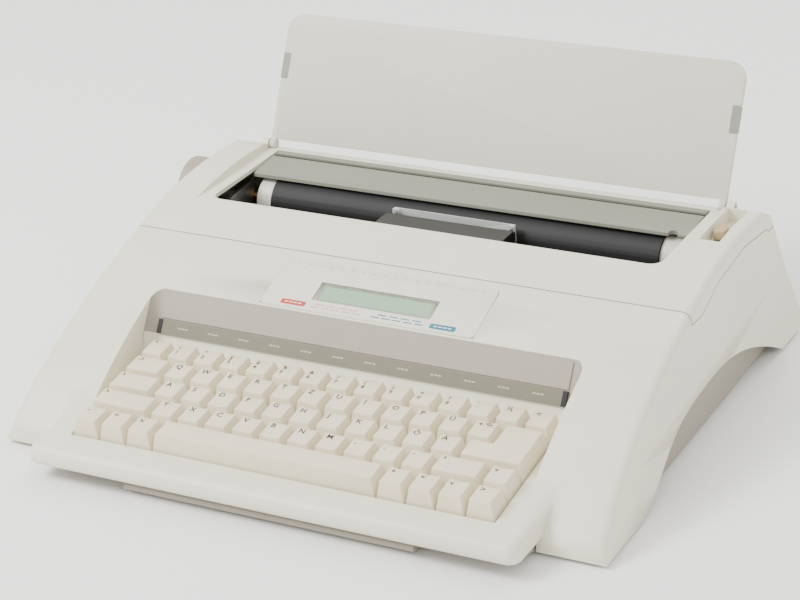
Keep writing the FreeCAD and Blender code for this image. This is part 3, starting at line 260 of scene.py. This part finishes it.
MOTOR = Finish("motor_can_steel", "7C7F80", "motor_steel", 0.36, 1.0, grain=Grain.GROUND)
BELT = Finish("neoprene_belt", "232323", "belt_rubber", 0.6)
BOARD = Finish("epoxy_glass_board", "3F6B45", "circuit_board", 0.42)
IRON = Finish("varnished_lamination", "5A5450", "transformer_iron", 0.5, 0.6, grain=Grain.GROUND)
FOOT = Finish("grey_foot_rubber", "55534F", "foot_rubber", 0.75)
DOME = Finish("silicone_dome_rubber", "8B9AA0", "dome_rubber", 0.55)
TAN = Finish("tan_acetal", "B49C79", "tan_plastic", 0.35)
RED_LIGHT = Finish("red_light_cap", "A8322C", "red_light", 0.2, grain=Grain.GLOSSY, mottle=0.0, coat=0.4)
CARD = Finish("clear_card_polyester", "DADFDB", "clear_card", 0.1, ior=1.55, grain=Grain.GLOSSY,
              mottle=0.0, transmission=0.3)
# printing inks: flat colour with a slight sheen
INK_DARK = Finish("dark_grey_ink", "24221F", "key_plastic", 0.5, grain=Grain.GLOSSY, mottle=0.0)
INK_LINE = Finish("grey_outline_ink", "8E8C84", "overlay_film", 0.5, grain=Grain.GLOSSY, mottle=0.0)
INK_RED = Finish("red_ink", "C5443D", "overlay_film", 0.45, grain=Grain.GLOSSY, mottle=0.0)
INK_PINK = Finish("pale_red_ink", "D99A92", "overlay_film", 0.45, grain=Grain.GLOSSY, mottle=0.0)
INK_BLUE = Finish("blue_ink", "2F7590", "overlay_film", 0.45, grain=Grain.GLOSSY, mottle=0.0)
INK_PALE = Finish("pale_strip_ink", "B4B19D", "strip_plastic", 0.5, grain=Grain.GLOSSY, mottle=0.0)
INK_LCD = Finish("lcd_segment_grey", "93AC9C", "display_glass", 0.4, grain=Grain.GLOSSY, mottle=0.0)
# black of the function strip's real end clips, also used as painted shade on the joint faces between case and
# cover
SHADE = Finish("slot_black_abs", "161616", "black_plastic", 0.6, grain=Grain.GLOSSY, mottle=0.0)


@dataclass(frozen=True)
class Axes:
    """A flat working plane: u across, v up the slope, w out of the surface."""

    origin: Vector
    u: Vector
    v: Vector
    w: Vector

    def matrix(self) -> Matrix:
        """Transform from the plane to the row frame."""
        turned = Matrix((self.u, self.v, self.w)).transposed().to_4x4()
        turned.translation = self.origin
        return turned

    @staticmethod
    def sloped(origin: Vector, slope: float) -> "Axes":
        """Plane that rises to the back by an angle.

        Args:
            origin: Its zero point.
            slope: Angle from level, in radians.

        Returns:
            The plane.
        """
        cos, sin = math.cos(slope), math.sin(slope)
        return Axes(origin, Vector((1, 0, 0)), Vector((0, cos, sin)), Vector((0, -sin, cos)))


class Workshop:
    """Makes pieces, joins them to the frame and gives them their finishes."""

    def __init__(self, frame: dict) -> None:
        """Keep the loaded frame."""
        self.frame = frame
        self.dressed: set[str] = set()

    def body_of(self, node: str) -> str:
        """Name of the body that a CAD node rides on."""
        return self.frame["nodes"][node].parent.name.split(":")[-1]

    def finish_piece(self, mesh: bpy.types.Mesh, name: str, body: str, finishes: list[Finish],
                     smooth: bool = True) -> bpy.types.Object:
        """Turn a mesh into a named piece.

        Args:
            mesh: Mesh in the row frame.
            name: Piece name.
            body: Body it rides on.
            finishes: Its finishes, in material index order.
            smooth: Whether the shading is smooth across shallow angles.

        Returns:
            The piece's object.
        """
        mesh.name = name
        for finish in finishes:
            mesh.materials.append(finish.material())
        if smooth:
            mesh.shade_smooth()
            mesh.set_sharp_from_angle(angle=SMOOTH_ANGLE)
        piece = bpy.data.objects.new(name, mesh)
        bpy.context.scene.collection.objects.link(piece)
        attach(piece, body)
        return piece

    def from_bmesh(self, bm: bmesh.types.BMesh, name: str, body: str, finishes: list[Finish],
                   smooth: bool = True) -> bpy.types.Object:
        """Turn a bmesh into a named piece and free it.

        Args:
            bm: Shape in the row frame.
            name: Piece name.
            body: Body it rides on.
            finishes: Its finishes.
            smooth: Whether the shading is smooth.

        Returns:
            The piece's object.
        """
        mesh = bpy.data.meshes.new(name)
        bm.to_mesh(mesh)
        bm.free()
        return self.finish_piece(mesh, name, body, finishes, smooth)

    def merged(self, node: str) -> bmesh.types.BMesh:
        """Copy a CAD node's mesh with its loose triangles joined.

        Args:
            node: CAD node name.

        Returns:
            A bmesh in the row frame.
        """
        source = self.frame["nodes"][node]
        bm = bmesh.new()
        bm.from_mesh(source.data)
        bm.transform(source.matrix_world)
        bmesh.ops.remove_doubles(bm, verts=bm.verts, dist=MERGE)
        return bm

    def reshell(self, node: str, finishes: list[Finish],
                rounding: Sequence[tuple[EdgeTest, float, int]] = (),
                paint: Callable[[bmesh.types.BMFace], int] | None = None) -> bpy.types.Object:
        """Replace a CAD node by a merged, rounded and dressed copy.

        Args:
            node: CAD node name.
            finishes: Finishes by material index.
            rounding: Edge test, radius and segments of each rounding.
            paint: Gives each face its material index.

        Returns:
            The piece that stands for the node.
        """
        bm = self.merged(node)
        if paint:
            for face in bm.faces:
                face.material_index = paint(face)
        for test, radius, segments in rounding:
            bmesh.ops.dissolve_limit(bm, angle_limit=math.radians(0.6), verts=bm.verts, edges=bm.edges,
                                     delimit={"MATERIAL"})
            chosen = [edge for edge in bm.edges if is_sharp(edge) and test(edge)]
            log.info("%s: %d edges rounded to %.2f mm", node, len(chosen), radius / MM)
            if chosen:
                bmesh.ops.bevel(bm, geom=chosen, offset=radius, segments=segments, profile=0.5,
                                affect="EDGES", clamp_overlap=True, material=-1, loop_slide=True)
        piece = self.from_bmesh(bm, node + "_shell", self.body_of(node), finishes)
        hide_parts(node)
        self.dressed.add(node)
        return piece

    def dress(self, finish: Finish, *nodes: str) -> None:
        """Give CAD nodes a finish on their own material slots.

        Args:
            finish: The finish.
            nodes: CAD node names.
        """
        for node in nodes:
            piece = self.frame["nodes"][node]
            if not piece.material_slots:
                piece.data.materials.append(finish.material())
            for slot in piece.material_slots:
                slot.material = finish.material()
            self.dressed.add(node)
            log.info("dressed %s in %s", node, finish.name)


def is_sharp(edge: bmesh.types.BMEdge) -> bool:
    """Whether two faces meet at an edge at more than 30 degrees."""
    return len(edge.link_faces) == 2 and edge.calc_face_angle(0.0) > math.radians(30.0)


def middle(edge: bmesh.types.BMEdge) -> Vector:
    """Middle point of an edge."""
    return (edge.verts[0].co + edge.verts[1].co) / 2


def plate(bm: bmesh.types.BMesh, axes: Axes, low: tuple[float, float], high: tuple[float, float],
          corner: float, lift: float = INK_LIFT) -> None:
    """Add a thin rounded plate, such as a printed field.

    Args:
        bm: Shape to add to.
        axes: Plane it lies on.
        low: Lower left corner on the plane.
        high: Upper right corner.
        corner: Corner radius.
        lift: Its thickness.
    """
    part = bmesh.new()
    bmesh.ops.create_grid(part, x_segments=1, y_segments=1, size=0.5)
    size = Vector((high[0] - low[0], high[1] - low[1], 1.0))
    bmesh.ops.scale(part, vec=size, verts=part.verts)
    bmesh.ops.translate(part, vec=((low[0] + high[0]) / 2, (low[1] + high[1]) / 2, 0.0), verts=part.verts)
    if corner:
        bmesh.ops.bevel(part, geom=part.verts, offset=corner, segments=4, profile=0.5,
                        affect="VERTICES", material=-1)
    raised = bmesh.ops.extrude_face_region(part, geom=part.faces)
    tops = [g for g in raised["geom"] if isinstance(g, bmesh.types.BMVert)]
    bmesh.ops.translate(part, vec=(0, 0, lift), verts=tops)
    bmesh.ops.recalc_face_normals(part, faces=part.faces)
    part.transform(axes.matrix())
    join(bm, part)


def frame_line(bm: bmesh.types.BMesh, axes: Axes, low: tuple[float, float], high: tuple[float, float],
               corner: float, width: float) -> None:
    """Add a thin printed outline.

    Args:
        bm: Shape to add to.
        axes: Plane it lies on.
        low: Lower left corner on the plane.
        high: Upper right corner.
        corner: Corner radius.
        width: Line width.
    """
    part = bmesh.new()
    bmesh.ops.create_grid(part, x_segments=1, y_segments=1, size=0.5)
    size = Vector((high[0] - low[0], high[1] - low[1], 1.0))
    bmesh.ops.scale(part, vec=size, verts=part.verts)
    bmesh.ops.translate(part, vec=((low[0] + high[0]) / 2, (low[1] + high[1]) / 2, 0.0), verts=part.verts)
    bmesh.ops.bevel(part, geom=part.verts, offset=corner, segments=6, profile=0.5, affect="VERTICES",
                    material=-1)
    inner = list(part.faces)
    bmesh.ops.inset_region(part, faces=inner, thickness=width, use_even_offset=True)
    bmesh.ops.delete(part, geom=inner, context="FACES")
    raised = bmesh.ops.extrude_face_region(part, geom=part.faces)
    tops = [g for g in raised["geom"] if isinstance(g, bmesh.types.BMVert)]
    bmesh.ops.translate(part, vec=(0, 0, INK_LIFT), verts=tops)
    bmesh.ops.recalc_face_normals(part, faces=part.faces)
    part.transform(axes.matrix())
    join(bm, part)


def join(bm: bmesh.types.BMesh, part: bmesh.types.BMesh) -> None:
    """Add one bmesh to another and free it."""
    mesh = bpy.data.meshes.new("part")
    part.to_mesh(mesh)
    part.free()
    bm.from_mesh(mesh)
    bpy.data.meshes.remove(mesh)


def lettering(text: str, height: float) -> bpy.types.Mesh:
    """Make one line of generic lettering as a flat mesh with a little thickness.

    Args:
        text: Characters.
        height: Height of the font's body.

    Returns:
        Mesh on the XY plane, its lower left at the origin.
    """
    curve = bpy.data.curves.new("letters", "FONT")
    curve.body = text
    curve.size = height
    curve.resolution_u = 2
    curve.extrude = INK_LIFT / 2
    curve.offset = 0.09 * MM
    holder = bpy.data.objects.new("letters", curve)
    bpy.context.scene.collection.objects.link(holder)
    bpy.context.view_layer.update()
    mesh = bpy.data.meshes.new_from_object(holder.evaluated_get(bpy.context.evaluated_depsgraph_get()))
    bpy.data.objects.remove(holder)
    bpy.data.curves.remove(curve)
    return mesh


@dataclass
class Casing:
    """Lower case, hinged cover and the dark panel behind the keys."""

    shop: Workshop
    lip_radius: float = 2.6 * MM
    seam_radius: float = 0.5 * MM
    bay_radius: float = 1.4 * MM

    @staticmethod
    def _under_cover(spot: Vector) -> bool:
        """Whether a place on the case's top rim is hidden below the closed cover."""
        return spot.z < 0.094

    def build(self) -> None:
        """Round and dress the outer shells."""
        panel_low, panel_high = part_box("recess_panel")
        strip_low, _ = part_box("function_strip")
        centre = (panel_low.x + panel_high.x) / 2
        half = (panel_high.x - panel_low.x) / 2 + 8 * MM

        cover_low, cover_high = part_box("top_cover")

        def joint_shade_face(face: bmesh.types.BMFace) -> bool:
            """Whether a face lies in the joint between case and cover; these faces get the black finish as
            painted shade for the dark line where little light falls.
            """
            spot = face.calc_center_median()
            cross = abs(face.normal.y) > 0.95 and abs(spot.y - cover_low.y) < 0.8 * MM and spot.z > 0.07
            across = abs(spot.x - (cover_low.x + cover_high.x) / 2)
            on_rim = across > (cover_high.x - cover_low.x) / 2 - 5 * MM or spot.y > cover_high.y - 8.5 * MM
            level = abs(face.normal.z) > 0.8 and cover_low.z - 1 * MM < spot.z < cover_low.z + 13.6 * MM
            return cross or (level and on_rim and spot.y > cover_low.y - 1 * MM and face.normal.z < 0) or (
                level and on_rim and spot.y > cover_low.y and self._under_cover(spot))

        def recess_wall(face: bmesh.types.BMFace) -> int:
            """Taupe for the recess's back wall and its rounded corners, and black painted shade for the joint
            faces.
            """
            spot = face.calc_center_median()
            # painted shade: joint faces go black so the seam reads as a dark line
            if joint_shade_face(face):
                return 2
            inside = abs(spot.x - centre) < half + 0.4 * MM
            above = strip_low.z - 2 * MM < spot.z < panel_high.z + 3 * MM
            behind = strip_low.y - 8 * MM < spot.y < panel_high.y + 4 * MM
            faces_out = face.normal.y < -0.2 and face.normal.z < 0.75
            return 1 if inside and above and behind and faces_out else 0

        def lip(edge: bmesh.types.BMEdge) -> bool:
            """Edges where the recess meets the crown."""
            spot = middle(edge)
            on_side = abs(abs(spot.x - centre) - half) < 0.7 * MM and spot.z > 0.036
            on_back = abs(spot.x - centre) < half and abs(spot.y - panel_high.y - 1.2 * MM) < 2.5 * MM
            on_corner = abs(spot.x - centre) > half - 8 * MM and spot.y > panel_low.y
            high = spot.z > panel_high.z - 2 * MM
            return (on_side and spot.y < panel_high.y + 3 * MM) or (high and (on_back or on_corner)
                                                                   and spot.y < panel_high.y + 3 * MM)

        def seam(edge: bmesh.types.BMEdge) -> bool:
            """Outer edges of the cross seam in front of the cover."""
            spot = middle(edge)
            along = abs(edge.verts[0].co.y - edge.verts[1].co.y) < 0.1 * MM
            return along and abs(spot.y - cover_low.y + 0.2 * MM) < 0.6 * MM and spot.z > 0.082

        self.shop.reshell("lower_case", [CASE, RECESS, SHADE],
                          [(lip, self.lip_radius, 4), (seam, self.seam_radius, 2)], recess_wall)

        def bay(edge: bmesh.types.BMEdge) -> bool:
            """Edges of the openings in the cover's top."""
            spot = middle(edge)
            level = min(edge.link_faces, key=lambda f: -f.normal.z).normal.z > 0.8
            return level and spot.z > cover_high.z - 9 * MM and spot.y > cover_low.y + 20 * MM

        # painted shade: the cover's joint faces take the black finish so the seam reads dark
        self.shop.reshell("top_cover", [COVER, SHADE],
                          [(bay, self.bay_radius, 3), (seam, self.seam_radius, 2)],
                          lambda face: 1 if face.normal.z < 0.5 and joint_shade_face(face) else 0)
        self.shop.reshell("recess_panel", [RECESS])
        self.shop.dress(STEEL, "case_screws")
        self.shop.dress(RED_LIGHT, "lock_light")
        log.info("casing built")


@dataclass
class Base:
    """Pan, feet and the slide-out handle under the case."""

    shop: Workshop
    handle_radius: float = 0.8 * MM

    def build(self) -> None:
        """Dress the dark base."""
        self.shop.reshell("base_pan", [TAUPE])
        self.shop.reshell("carry_handle", [TAUPE], [(lambda edge: True, self.handle_radius, 3)])
        self.shop.reshell("rubber_feet", [FOOT])
        log.info("base built")


@dataclass
class Keyboard:
    """Key caps with their printed characters, guide plate, domes and board."""

    shop: Workshop
    rounding: float = 0.55 * MM
    letter_size: float = 5.4 * MM
    side_taper: float = 2.5 * MM
    back_taper: float = 1.0 * MM
    dish_radius: float = 34.0 * MM
    dish_sink: float = 0.9 * MM
    legends: dict[str, list[str]] = field(default_factory=lambda: {
        "number_row_keys": ["°", "1 !", "2 \"", "3 §", "4 $", "5 %", "6 &", "7 /", "8 (", "9 )", "0 =",
                            "ß ?", "´ `", "½"],
        "upper_row_keys": ["Q", "W", "E", "R", "T", "Z", "U", "I", "O", "P", "Ü", "+"],
        "home_row_keys": ["A", "S", "D", "F", "G", "H", "J", "K", "L", "Ö", "Ä"],
        "lower_row_keys": ["Y", "X", "C", "V", "B", "N", "M", ",", ".", "-", "v"],
        "bottom_row_keys": ["-", "=", "x", "+", "<", "v", ">"],
        "backspace_key": ["<"],
        "tab_key": ["->"],
        "shift_lock_key": ["^"],
        "left_shift_key": ["^"],
        "right_shift_key": ["^"],
        "return_key": ["<-"],
    })

    def build(self) -> None:
        """Round every cap and print its character."""
        for node in list(self.legends) + ["space_bar"]:
            bottom = self._top(node) - 11 * MM

            def cap_edge(edge: bmesh.types.BMEdge) -> bool:
                """Edges of the cap's outside, above its hidden stem."""
                spot = middle(edge)
                return self._height(spot) > bottom

            self.shop.reshell(node, [KEY], [(cap_edge, self.rounding, 2)])
            if node in self.legends:
                self._print(node)
        self.shop.dress(BLACK, "key_plate")
        self.shop.dress(DOME, "key_domes")
        self.shop.dress(BOARD, "key_board")
        log.info("keyboard built")

    def _height(self, point: Vector) -> float:
        """Height of a point above the tilted key plane through the row frame's origin."""
        return point.z * math.cos(KEY_TILT) - point.y * math.sin(KEY_TILT)

    def _top(self, node: str) -> float:
        """Highest point of a key node above the tilted plane."""
        mesh = self.shop.frame["nodes"][node].data
        return max(self._height(vertex.co) for vertex in mesh.vertices)

    def _bow(self, across: float) -> float:
        """Rise of the dish's round bottom at a distance from its middle."""
        return self.dish_radius - math.sqrt(self.dish_radius**2 - min(across**2, 1e-4))

    def _caps(self, node: str) -> list[tuple[float, float, float, float]]:
        """Measure each cap of a node on the key plane.

        Args:
            node: Key node name.

        Returns:
            Left, right, back and top of each cap, from the left to the right.
        """
        bm = self.shop.merged(node)
        left_over = set(bm.verts)
        caps = []
        while left_over:
            start = left_over.pop()
            group, reach = [start], [start]
            while reach:
                for edge in reach.pop().link_edges:
                    for vertex in edge.verts:
                        if vertex in left_over:
                            left_over.remove(vertex)
                            group.append(vertex)
                            reach.append(vertex)
            spots = [v.co for v in group]
            along = [p.y * math.cos(KEY_TILT) + p.z * math.sin(KEY_TILT) for p in spots]
            caps.append((min(p.x for p in spots), max(p.x for p in spots), max(along),
                         max(self._height(p) for p in spots)))
        bm.free()
        return sorted(caps)

    def _print(self, node: str) -> None:
        """Print a node's characters in the dish of its caps.

        Args:
            node: Key node name.
        """
        axes = Axes.sloped(Vector((0, 0, 0)), KEY_TILT)
        bm = bmesh.new()
        for (left, right, back, top), text in zip(self._caps(node), self.legends[node]):
            lines = text.split(" ")
            wide = right - left > 26 * MM
            for index, line in enumerate(lines):
                mesh = lettering(line, self.letter_size * (0.8 if len(lines) > 1 else 1.0))
                start = left + self.side_taper + 1.7 * MM
                base = back - self.back_taper - (4.6 if len(lines) == 1 else 9.4 - 4.6 * index) * MM
                part = bmesh.new()
                part.from_mesh(mesh)
                bpy.data.meshes.remove(mesh)
                bmesh.ops.translate(part, vec=(start, base, 0), verts=part.verts)
                centre = (left + right) / 2
                edge = (right - left) / 2 - self.side_taper
                rim = 0.0 if wide else self.dish_sink - self._bow(edge)
                for vertex in part.verts:
                    dip = 0.0 if wide else self._bow(vertex.co.x - centre) - self.dish_sink
                    vertex.co.z += top + rim + dip + INK_LIFT
                part.transform(axes.matrix())
                join(bm, part)
        self.shop.from_bmesh(bm, node + "_print", self.shop.body_of(node), [INK_DARK], smooth=False)


@dataclass
class Display:
    """Printed film with its window, the reflective glass behind it and the function strip."""

    shop: Workshop
    film_length: float = 41.5 * MM
    film_half: float = 74.5 * MM
    film_thickness: float = 1.2 * MM
    glass_half: float = 41.5 * MM
    labels: int = 12

    def build(self) -> None:
        """Dress the film and print its fields."""
        self.shop.reshell("display_overlay", [OVERLAY])
        self.shop.dress(WINDOW, "display_window")
        self.shop.dress(GLASS, "display_module")
        low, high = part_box("display_overlay")
        foot = Vector(((low.x + high.x) / 2, high.y - self.film_length * math.cos(DISPLAY_SLOPE), low.z))
        up = Axes.sloped(foot, DISPLAY_SLOPE)
        face = Axes(foot + up.w * self.film_thickness, up.u, up.v, up.w)
        body = self.shop.body_of("display_overlay")
        line = bmesh.new()
        frame_line(line, face, (-self.film_half + 1.4 * MM, 1.2 * MM),
                   (self.film_half - 1.4 * MM, self.film_length - 1.2 * MM), 3.5 * MM, 0.35 * MM)
        frame_line(line, face, (-self.glass_half - 1.2 * MM, 8.0 * MM),
                   (self.glass_half + 1.2 * MM, 26.0 * MM), 1.0 * MM, 0.25 * MM)
        for step in range(18):
            start = -self.film_half + (9 + step * 7.6) * MM
            plate(line, face, (start, 38.0 * MM), (start + 3.4 * MM, 38.3 * MM), 0.0)
        self.shop.from_bmesh(line, "display_outline", body, [INK_LINE], smooth=False)
        red = bmesh.new()
        plate(red, face, (-61 * MM, 2.2 * MM), (-43.5 * MM, 6.4 * MM), 1.2 * MM)
        self.shop.from_bmesh(red, "display_red_field", body, [INK_RED], smooth=False)
        blue = bmesh.new()
        plate(blue, face, (43.5 * MM, 2.2 * MM), (61 * MM, 6.4 * MM), 1.2 * MM)
        self._dashes(blue, face, 2 * MM, 40 * MM, 3.0 * MM, 5)
        self._dashes(blue, face, 6 * MM, 38 * MM, 5.4 * MM, 4)
        self.shop.from_bmesh(blue, "display_blue_marks", body, [INK_BLUE], smooth=False)
        pink = bmesh.new()
        self._dashes(pink, face, -40 * MM, -4 * MM, 3.0 * MM, 5)
        self._dashes(pink, face, -38 * MM, -6 * MM, 5.4 * MM, 4)
        self.shop.from_bmesh(pink, "display_red_marks", body, [INK_PINK], smooth=False)
        white = bmesh.new()
        for side in (-1, 1):
            self._dashes(white, face, side * 52.2 * MM - 6.4 * MM, side * 52.2 * MM + 6.4 * MM, 3.9 * MM, 4,
                         lift=2 * INK_LIFT)
        self.shop.from_bmesh(white, "display_field_marks", body, [OVERLAY], smooth=False)
        self._strip()
        log.info("display built")

    def _dashes(self, bm: bmesh.types.BMesh, axes: Axes, start: float, end: float, height: float,
                count: int, lift: float = INK_LIFT) -> None:
        """Print a row of short wordless marks.

        Args:
            bm: Shape to add to.
            axes: Plane they lie on.
            start: Left end of the row.
            end: Right end of the row.
            height: Place up the slope.
            count: Number of marks.
            lift: Their thickness.
        """
        pitch = (end - start) / count
        for index in range(count):
            left = start + index * pitch + 0.12 * pitch
            plate(bm, axes, (left, height), (left + 0.76 * pitch, height + 0.9 * MM), 0.0, lift)

    def _strip(self) -> None:
        """Dress the function strip, its two dark end clips and its printed marks."""
        low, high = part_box("function_strip")
        centre = (low.x + high.x) / 2
        clip_x = (high.x - low.x) / 2 - 3.2 * MM

        def clip(face: bmesh.types.BMFace) -> int:
            """Black for the two end clips."""
            return 1 if abs(face.calc_center_median().x - centre) > clip_x else 0

        self.shop.reshell("function_strip", [STRIP, SHADE], paint=clip)
        slope = math.atan2(8.0, 5.0)
        tall = Axes.sloped(Vector((0, 0, 0)), slope)
        thick = 2.0 * MM
        foot = Vector((centre, low.y + thick * math.sin(slope), low.z))
        face = Axes(foot + tall.w * 1.6 * MM, tall.u, tall.v, tall.w)
        marks = bmesh.new()
        for index in range(self.labels):
            spot = (-1 + 2 * (index + 0.5) / self.labels) * (clip_x - 4 * MM)
            self._dashes(marks, face, spot - 4 * MM, spot + 4 * MM, 4.6 * MM, 3)
        self.shop.from_bmesh(marks, "strip_marks", self.shop.body_of("function_strip"), [INK_PALE],
                             smooth=False)


@dataclass
class PaperRest:
    """Raised paper support with the grips let into its side edges."""

    shop: Workshop
    grip_low: float = 46 * MM
    grip_high: float = 64 * MM
    grip_width: float = 5.5 * MM
    thickness: float = 3.0 * MM

    def build(self) -> None:
        """Dress the support and add its grips."""
        self.shop.reshell("paper_support", [SUPPORT], [(lambda edge: True, 0.7 * MM, 3)])
        self.shop.dress(STEEL, "support_pins")
        low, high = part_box("paper_support")
        pins_low, pins_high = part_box("support_pins")
        hinge = Vector(((low.x + high.x) / 2, (pins_low.y + pins_high.y) / 2, (pins_low.z + pins_high.z) / 2))
        axes = Axes.sloped(hinge - Axes.sloped(hinge, math.pi / 2 - FOLD_LEAN).w * 1.62 * MM,
                           math.pi / 2 - FOLD_LEAN)
        half = (high.x - low.x) / 2
        bm = bmesh.new()
        for side in (-1, 1):
            ends = sorted((side * (half - self.grip_width), side * (half + 0.1 * MM)))
            plate(bm, axes, (ends[0], self.grip_low), (ends[1], self.grip_high), 0.8 * MM,
                  self.thickness + 0.24 * MM)
        self.shop.from_bmesh(bm, "support_grips", self.shop.body_of("paper_support"), [BAIL])
        log.info("paper rest built")


@dataclass
class PrintWorks:
    """Platen, bail, carriage and the drives, seen through the bay."""

    shop: Workshop

    def build(self) -> None:
        """Dress the mechanism."""
        shop = self.shop
        shop.reshell("platen_rubber", [RUBBER])
        shop.reshell("platen_hubs", [NYLON])
        shop.reshell("platen_knob", [TAUPE], [(lambda edge: True, 0.5 * MM, 2)])
        shop.reshell("paper_bail", [BAIL])
        shop.reshell("release_lever", [TAN], [(lambda edge: middle(edge).z > 0.09, 0.6 * MM, 2)])
        shop.reshell("card_holder", [CARD])
        shop.reshell("ribbon_cassette", [BLACK])
        shop.reshell("carriage", [BLACK])
        shop.reshell("paper_trough", [BAIL])
        shop.dress(STEEL, "platen_shaft", "carriage_rails", "pivot_pins", "print_hammer")
        shop.dress(BRONZE, "platen_bearings")
        shop.dress(NYLON, "platen_gear", "feed_motor_pinion", "correction_spools", "drive_pulley",
                   "idler_pulley")
        shop.dress(MOTOR, "feed_motor", "wheel_motor", "carriage_motor")
        shop.dress(RUBBER, "feed_rollers")
        shop.dress(ZINC, "left_side_frame", "right_side_frame")
        shop.dress(BLACK, "print_wheel")
        shop.dress(BELT, "carriage_belt")
        log.info("print works built")


@dataclass
class Electrics:
    """Board, transformer, mains inlet and rocker."""

    shop: Workshop

    def build(self) -> None:
        """Dress the electrical pieces."""
        self.shop.dress(BOARD, "main_board")
        self.shop.dress(IRON, "transformer")
        self.shop.dress(BLACK, "power_inlet_unit", "power_rocker")
        log.info("electrics built")


@dataclass
class Studio:
    """Pale floor, soft lights and the camera."""

    eye: Vector = field(default_factory=lambda: Vector((0.6809, -1.19465, 0.7121)))
    lens_mm: float = 108.71

    def build(self) -> None:
        """Set the floor, lights, world and camera."""
        bm = bmesh.new()
        bmesh.ops.create_grid(bm, x_segments=1, y_segments=1, size=4.0)
        mesh = bpy.data.meshes.new("studio_floor")
        bm.to_mesh(mesh)
        bm.free()
        paper = Finish("white_backdrop_paper", "F7F7F6", "stage", 0.8, grain=Grain.GLOSSY, mottle=0.0)
        mesh.materials.append(paper.material())
        floor = bpy.data.objects.new("studio_floor", mesh)
        bpy.context.scene.collection.objects.link(floor)
        for name, spot, power, size in (
            ("key_light", Vector((-1.1, -0.9, 1.6)), 54.0, 0.9),
            ("fill_light", Vector((1.4, -0.9, 1.1)), 6.0, 1.4),
            ("back_light", Vector((0.2, 1.4, 1.5)), 18.0, 1.5),
        ):
            lamp = bpy.data.lights.new(name, "AREA")
            lamp.energy = power
            lamp.size = size
            holder = bpy.data.objects.new(name, lamp)
            bpy.context.scene.collection.objects.link(holder)
            holder.location = spot
            holder.rotation_euler = (Vector((0, 0, 0.05)) - spot).to_track_quat("-Z", "Y").to_euler()
        world = bpy.data.worlds.new("studio_world")
        world.use_nodes = True
        sky = world.node_tree.nodes["Background"]
        sky.inputs["Color"].default_value = linear("FFFDF9")
        sky.inputs["Strength"].default_value = 1.3
        bpy.context.scene.world = world
        lens = bpy.data.cameras.new("studio_camera")
        lens.lens = self.lens_mm
        lens.sensor_width = 36.0
        camera = bpy.data.objects.new("studio_camera", lens)
        bpy.context.scene.collection.objects.link(camera)
        right = Vector((0.8837, 0.4638, -0.0631))
        upward = Vector((-0.1476, 0.4039, 0.9028))
        back = Vector((0.4442, -0.7885, 0.4253))
        turned = Matrix((right, upward, back)).transposed().to_4x4()
        turned.translation = self.eye
        camera.matrix_world = turned
        bpy.context.scene.camera = camera
        log.info("studio set")


def main() -> None:
    """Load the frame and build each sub-assembly."""
    logging.basicConfig(level=logging.INFO, format="%(message)s")
    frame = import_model()
    shop = Workshop(frame)
    for assembly in (Casing(shop), Base(shop), Keyboard(shop), Display(shop), PaperRest(shop),
                     PrintWorks(shop), Electrics(shop)):
        assembly.build()
    Studio().build()
    left = sorted(set(frame["nodes"]) - shop.dressed)
    log.info("nodes without a finish: %s", left)


if __name__ == "__main__":
    main()
